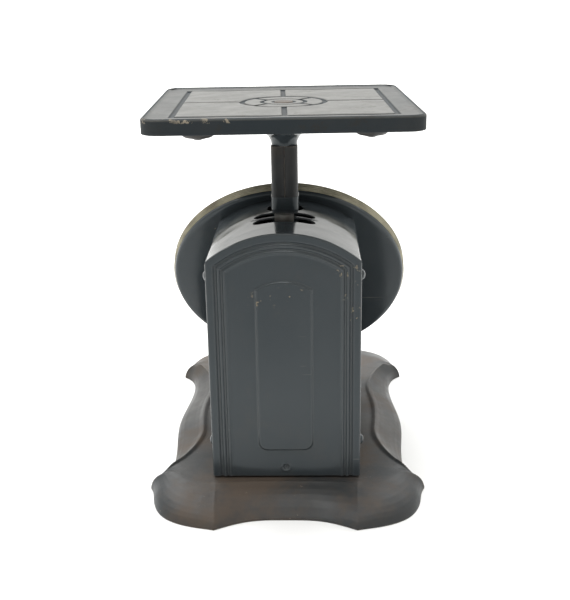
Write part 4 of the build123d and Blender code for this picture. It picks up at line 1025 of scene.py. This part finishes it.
def pointer_hand():
    """The black hand: a long tapered blade with a ridge, a round hub and a round tail."""
    stations = np.linspace(HAND_TAIL, HAND_TIP, 81)
    count = len(stations)
    taper = np.clip(stations / HAND_TIP, 0, 1) ** 0.8
    half = np.where(stations < 0, 1.6, HAND_HALF - (HAND_HALF - HAND_TIP_HALF) * taper)
    for centre in (0.0, HAND_DISC):
        half = np.maximum(half, np.sqrt(np.clip(HAND_HUB**2 - (stations - centre) ** 2, 0, None)))
    across = np.array([-1, -0.75, 0, 0.75, 1])
    lift = HAND_BACK + 0.3 + np.array([0.0, 0.18, 0.3, 0.18, 0.0])
    top = np.stack([np.outer(half, across), np.repeat(stations[:, None], 5, 1), np.tile(lift, (count, 1))], 2)
    under = top.copy()
    under[:, :, 2] = HAND_BACK
    vertices = np.concatenate([top, under[:, ::-1]], 1).reshape(-1, 3)
    faces = grid_faces(count, 10, False, True) + end_caps(10, len(vertices))
    piece = new_object("blued_hand", in_dial_plane(vertices), faces, sharp=40)
    return place(piece, "pointer", "pointer_black", replaces=["pointer_hand"])


# --- post
FLUTE_FOOT = 164.0
FLUTE_DEPTH = 1.6
FLUTE_SPREAD = 1.25
POST_CORNER = 4.0


def stem():
    """The pressed post: two rounded lobes on each face with a narrow flute that runs out below."""
    half = (stem_high[0] - stem_low[0]) / 2
    corner = POST_CORNER
    t = np.linspace(-half + corner, half - corner, 61)
    groove = FLUTE_DEPTH * np.exp(-np.sqrt(t**2 + 0.2**2) / FLUTE_SPREAD)
    section, weight = [], []
    for index in range(4):
        spin = math.pi / 2 * index
        c, s = math.cos(spin), math.sin(spin)
        for v, g in zip(t, groove):
            section.append((c * half - s * v, s * half + c * v))
            weight.append((-g * c, -g * s))
        for angle in np.radians(np.linspace(0, 90, 10)[1:-1]):
            x = half - corner + corner * math.cos(angle)
            y = half - corner + corner * math.sin(angle)
            section.append((c * x - s * y, s * x + c * y))
            weight.append((0.0, 0.0))
    section, weight = np.array(section), np.array(weight)
    heights = np.concatenate([
        np.linspace(stem_low[2], FLUTE_FOOT - 3, 10), np.linspace(FLUTE_FOOT - 2, FLUTE_FOOT + 3, 16),
        np.linspace(FLUTE_FOOT + 4, stem_high[2], 20),
    ])
    rows = []
    for z in heights:
        deep = smoothstep(FLUTE_FOOT - 1, FLUTE_FOOT + 2.5, z)
        flat = section + weight * deep
        rows.append(np.column_stack([flat[:, 0], flat[:, 1] + STEM_Y, np.full(len(flat), z)]))
    count = len(section)
    vertices = np.concatenate(rows)
    faces = grid_faces(len(heights), count, False, True) + end_caps(count, len(vertices))
    piece = new_object("fluted_post", vertices, faces, sharp=50)
    return place(piece, "carriage", "black_enamel", "worn_enamel", replaces=["stem"])


# --- platform
RIM_WIDTH = 3.6
FIELD_DROP = 1.1
BORDER = 13.0
GROOVE = 3.6
GROOVE_DEPTH = 0.95
RING = 24.0
RING_WIDTH = 3.4
INNER_RING = 12.6
INNER_RING_WIDTH = 3.0
SPOKE_WIDTH = 3.2
RECESS = 7.0
RECESS_DEPTH = 0.9
SWELL = 0.25
LIP_SHIFT = 0.7
PLATFORM_CORNER = 10.0
PLATFORM_SHEET = 1.2


def channel(distance, width, slope=0.8):
    """A flat-bottomed groove of unit depth and the given full width about distance 0."""
    return 1 - smoothstep(width / 2 - slope, width / 2, abs(distance))


def platform_relief(x, y, half):
    """Height of the pressed platform top against its rim."""
    reach = np.maximum(abs(x), abs(y))
    edge = half - reach
    r = np.hypot(x, y)
    height = -FIELD_DROP * smoothstep(0.9, RIM_WIDTH, edge)
    square = half - BORDER - GROOVE / 2
    groove = channel(reach - square, GROOVE)
    cross = np.maximum(channel(x, GROOVE), channel(y, GROOVE))
    cross = cross * (reach < square) * smoothstep(RING - 0.5, RING + 0.5, r)
    ring = channel(r - RING, RING_WIDTH)
    small = channel(r - INNER_RING, INNER_RING_WIDTH)
    between = smoothstep(INNER_RING, INNER_RING + 1, r) * (1 - smoothstep(RING - 1, RING, r))
    spokes = [channel(abs(off) / math.sqrt(2), SPOKE_WIDTH) for off in (x - y, x + y)]
    spokes = np.maximum(*spokes)
    height = height - GROOVE_DEPTH * np.maximum.reduce([groove, cross, ring, small, spokes * between])
    swell = smoothstep(0, 4, square - reach) * smoothstep(RING, RING + 4, r) * (1 - cross)
    height = height + SWELL * swell
    height = height - RECESS_DEPTH * (1 - smoothstep(RECESS - 1.0, RECESS + 0.8, r))
    dents = 0.06 * np.sin(x * 0.11 + 1.0) * np.sin(y * 0.09 + 0.4) + 0.04 * np.sin(x * 0.21 - y * 0.17)
    return height + dents * smoothstep(3, 10, edge)


def platform_outline(half, corner, per_side=240, per_corner=14):
    """A rounded square as a closed loop of (x, y) points."""
    points = []
    for index in range(4):
        spin = math.pi / 2 * index
        c, s = math.cos(spin), math.sin(spin)
        side = [(half, v) for v in np.linspace(-half + corner, half - corner, per_side)[:-1]]
        turn = arc((half - corner, half - corner), corner, 0, 90, per_corner)[:-1]
        points += [(c * x - s * y, s * x + c * y) for x, y in side + turn]
    return np.array(points)


def platform():
    """The pressed square platform: embossed top, rolled rim and turned-down lip."""
    spin = PLATFORM_TWIST
    corner = PLATFORM_CORNER
    half = (platform_high[0] - platform_low[0]) / 2
    half = (half - corner) / (math.cos(spin) + math.sin(spin)) + corner
    top_z, low_z = platform_high[2], platform_low[2]

    def loop_at(inset, z=None, drop=0.0):
        """One loop of points at an inset: at height z or, without one, on the embossed top."""
        loop = platform_outline(half - inset, max(corner - inset, 0.02))
        share = 1.0
        if z is None:
            z = top_z + platform_relief(loop[:, 0], loop[:, 1], half) - drop
            share = 1 - float(smoothstep(3, 11, inset))
        return np.column_stack([loop + [LIP_SHIFT * share, 0], np.zeros(len(loop)) + z])

    insets = np.concatenate([np.linspace(1.5, 18.5, 56), np.linspace(19, half - 0.1, 150)])
    top = [loop_at(inset) for inset in insets]
    rim = list(arc((1.5, top_z - 1.5), 1.5, 100, 180, 9))
    wall = [(0.05, z) for z in np.linspace(top_z - 2.2, low_z + 0.9, 10)]
    hem = [(0.0, low_z + 0.5), (0.3, low_z + 0.1), (0.7, low_z), (1.1, low_z + 0.3), (1.25, low_z + 0.8)]
    back = [(1.2, z) for z in np.linspace(low_z + 1.3, top_z - 3.2, 6)] + [(2.0, top_z - 2.5)]
    skirt = [loop_at(inset, z) for inset, z in rim + wall + hem + back]
    under_insets = (6, 12, 16, 20, 30, 40, 50, 60, 64, 68, half - 0.1)
    under = [loop_at(inset, drop=PLATFORM_SHEET) for inset in under_insets]
    rows = np.array(top[::-1] + skirt + under)
    count = rows.shape[1]
    turn = np.array([[math.cos(spin), math.sin(spin)], [-math.sin(spin), math.cos(spin)]])
    vertices = rows.reshape(-1, 3)
    vertices[:, :2] = vertices[:, :2] @ turn + [0, STEM_Y]
    faces = grid_faces(len(rows), count, False, True) + end_caps(count, len(vertices), flip=True)
    piece = new_object("embossed_platform", vertices, faces, sharp=60)
    return place(piece, "carriage", "worn_enamel", "platform_enamel", replaces=["platform"])


PAD_REACH = 76.7
PAD_ANGLE = math.radians(53.6)
PAD_LOW = 211.2
PAD_HALF = 8.5
PAD_TAPER = 24.0
PAD_BURIED = 3.0


def pad_leaf(index):
    """The leaf-shaped foot of one spider arm, deepest towards the platform's corner."""
    spin = (PAD_ANGLE, math.pi - PAD_ANGLE, math.pi + PAD_ANGLE, -PAD_ANGLE)[index] + PLATFORM_TWIST
    rings, steps = 14, 40
    top = platform_low[2] + PAD_BURIED
    angle = np.linspace(0, 2 * math.pi, steps, endpoint=False)
    c, s = np.cos(angle), np.sin(angle)
    length = np.where(c > 0, PAD_HALF, PAD_TAPER)
    rows = []
    for share in np.linspace(0.02, 1, rings):
        out = PAD_REACH + length * share * c
        side = PAD_HALF * share * s * np.where(c > 0, 1, 1 + 0.45 * c * share)
        x = math.cos(spin) * out - math.sin(spin) * side
        y = STEM_Y + math.sin(spin) * out + math.cos(spin) * side
        z = top - (top - PAD_LOW) * (1 - share**2) ** 0.8
        rows.append(np.column_stack([x, y, np.full(steps, z)]))
    vertices = np.concatenate(rows)
    faces = grid_faces(rings, steps, False, True) + end_caps(steps, len(vertices))
    piece = new_object(f"spider_pad_{index}", vertices, faces, sharp=60)
    return place(piece, "carriage", "cast_black")


# --- springs
WIRE_RADIUS = 0.6
COIL_TURNS = 34
HOOK_ROOM = 10
HOOK_RADIUS = 3.2


def spring(name):
    """A close-wound extension spring with a hook at each end."""
    low, high = box_mm(name)
    x = (low[0] + high[0]) / 2
    radius = (high[0] - low[0]) / 2 - WIRE_RADIUS
    coil_low, coil_high = low[2] + HOOK_ROOM, high[2] - HOOK_ROOM
    steps = COIL_TURNS * 22
    angles = np.linspace(0, 2 * math.pi * COIL_TURNS, steps)
    coil = np.column_stack([
        x + radius * np.cos(angles), STEM_Y + radius * np.sin(angles), np.linspace(coil_low, coil_high, steps)
    ])

    def hook(z_start, direction):
        angle = np.linspace(0, math.radians(300), 26)
        centre = z_start + direction * (HOOK_RADIUS + 2)
        lead = np.linspace(0.15, 0.9, 5)
        side = [(x + radius * (1 - t), STEM_Y, z_start + direction * 1.6 * t) for t in lead]
        swing, rise = HOOK_RADIUS * np.sin(angle), HOOK_RADIUS * np.cos(angle)
        ring = [(x, STEM_Y + y, centre - direction * z) for y, z in zip(swing, rise)]
        return np.array(side + ring)

    path = np.concatenate([hook(coil_low, -1)[::-1], coil, hook(coil_high, 1)])
    points, faces = tube(path, WIRE_RADIUS, 10)
    piece = new_object(name + "_coil", points, faces)
    dress(piece, "spring_steel")
    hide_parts(name)
    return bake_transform(piece)


# --- carried-over CAD nodes
CAD_FINISH = {
    "black_enamel": ("front_plate", "stem_ferrule", "stem_collar"),
    "aged_brass": ("glass_seat_ring", "front_bush", "rear_bush", "pinion", "pointer_cap"),
    "plain_steel": (
        "dial_rivets", "movement_bracket", "bracket_rivets", "rack_guide_pin", "spring_hanger",
        "pointer_shaft", "rack", "rack_arm", "rack_rivets", "stem_rivet", "carriage_bar",
        "spring_crossbar", "crossbar_rivets", "upper_link_pin", "lower_link_pin", "upper_link",
        "lower_link", "zero_screw",
    ),
    "cast_black": ("platform_spider",),
    "worn_enamel": ("platform_screw",),
}


def dress_cad_nodes():
    for material, names in CAD_FINISH.items():
        for name in names:
            dress(nodes[name], material)


# --- stage, light and camera
CAMERA_PLACE = (-15.7, 603.2, 293.0)
CAMERA_PITCH = math.radians(18.51)
CAMERA_YAW = math.radians(1.68)
CAMERA_ROLL = math.radians(0.94)
CAMERA_LENS = 58.41


def camera():
    data = bpy.data.cameras.new("camera")
    data.lens = CAMERA_LENS
    data.sensor_width = 36.0
    data.clip_start = 0.01
    piece = bpy.data.objects.new("camera", data)
    level = math.cos(CAMERA_PITCH)
    forward = Vector((math.sin(CAMERA_YAW) * level, -math.cos(CAMERA_YAW) * level, -math.sin(CAMERA_PITCH)))
    right = Vector((-math.cos(CAMERA_YAW), -math.sin(CAMERA_YAW), 0))
    up = right.cross(forward)
    c, s = math.cos(CAMERA_ROLL), math.sin(CAMERA_ROLL)
    across = c * right - s * up
    above = s * right + c * up
    turn = Matrix((across, above, -forward)).transposed().to_4x4()
    piece.matrix_world = Matrix.Translation(Vector(CAMERA_PLACE) * MM) @ turn
    bpy.context.scene.collection.objects.link(piece)
    bpy.context.scene.camera = piece


def area_light(name, place_m, aim_m, size, power):
    data = bpy.data.lights.new(name, "AREA")
    data.shape = "RECTANGLE"
    data.size, data.size_y = size
    data.energy = power
    piece = bpy.data.objects.new(name, data)
    piece.location = place_m
    aim = Vector(aim_m) - Vector(place_m)
    piece.rotation_euler = aim.to_track_quat("-Z", "Y").to_euler()
    bpy.context.scene.collection.objects.link(piece)


def white_room():
    """A pale surrounding that is brightest behind the scale and dims on the viewer's side."""
    world = bpy.data.worlds.new("white_room")
    world.use_nodes = True
    tree = world.node_tree
    place_node = tree.nodes.new("ShaderNodeTexCoord")
    split = tree.nodes.new("ShaderNodeSeparateXYZ")
    tree.links.new(place_node.outputs["Generated"], split.inputs[0])
    shift = tree.nodes.new("ShaderNodeMath")
    shift.operation = "MULTIPLY_ADD"
    shift.inputs[1].default_value = 0.5
    shift.inputs[2].default_value = 0.5
    tree.links.new(split.outputs[1], shift.inputs[0])
    ramp = tree.nodes.new("ShaderNodeValToRGB")
    ramp.color_ramp.interpolation = "EASE"
    elements = ramp.color_ramp.elements
    for _ in range(2):
        elements.new(0.5)
    stops = ((0.0, 0.66), (0.3, 0.56), (0.55, 0.5), (1.0, 0.24))
    for element, (position, grey) in zip(elements, stops):
        element.position = position
        element.color = (grey, grey * 0.995, grey * 0.965, 1)
    tree.links.new(shift.outputs[0], ramp.inputs["Fac"])
    background = tree.nodes["Background"]
    tree.links.new(ramp.outputs["Color"], background.inputs["Color"])
    background.inputs["Strength"].default_value = 2.0
    bpy.context.scene.world = world


# metres: the table, and where its painted shade starts and ends, going from white to pale grey towards the
# viewer
TABLE_HALF = 8.0
TABLE_SHADE_FROM = 0.19
TABLE_SHADE_TO = 0.44


def stage():
    """A white table with painted shade that turns it pale grey on the viewer's side, with one soft light
    above and one far behind.
    """
    corners = [(x * TABLE_HALF, y * TABLE_HALF, 0) for x, y in ((-1, -1), (1, -1), (1, 1), (-1, 1))]
    mesh = bpy.data.meshes.new("table")
    mesh.from_pydata(corners, [], [(0, 1, 2, 3)])
    table = bpy.data.objects.new("table", mesh)
    bpy.context.scene.collection.objects.link(table)
    n = Nodes("table_white")
    cloud = n.ramp(n.noise(3, 2), (0.3, (0.9, 0.9, 0.9)), (0.7, (0.92, 0.92, 0.915)))
    # painted shade: the table greys towards the viewer's side
    along = n.math("SUBTRACT", n.axis(1), TABLE_SHADE_FROM)
    painted_shade = n.ramp(n.math("DIVIDE", along, TABLE_SHADE_TO - TABLE_SHADE_FROM), (0.0, 0.0), (1.0, 1.0))
    colour = n.mix(painted_shade, cloud, (0.6, 0.6, 0.6))
    mesh.materials.append(n.finish(colour, n.ramp(n.noise(8, 3), (0.3, 0.5), (0.7, 0.6)), 0.0))
    white_room()
    area_light("overhead", (0.25, -0.1, 1.3), (0, 0, 0.1), (1.3, 1.3), 19)
    area_light("backdrop", (0, -3.2, 2.6), (0, -4.2, 0), (6, 3), 260)


base_shell()
housing_shell()
back_panel()
check_rod("upper_check_rod")
check_rod("lower_check_rod")
dial_dish()
bezel()
dial_face()
dial_glass()
pointer_hand()
stem()
platform()
for corner_index in range(4):
    pad_leaf(corner_index)
spring("left_spring")
spring("right_spring")
dress_cad_nodes()
stage()
camera()
bpy.context.scene.view_settings.view_transform = "Standard"
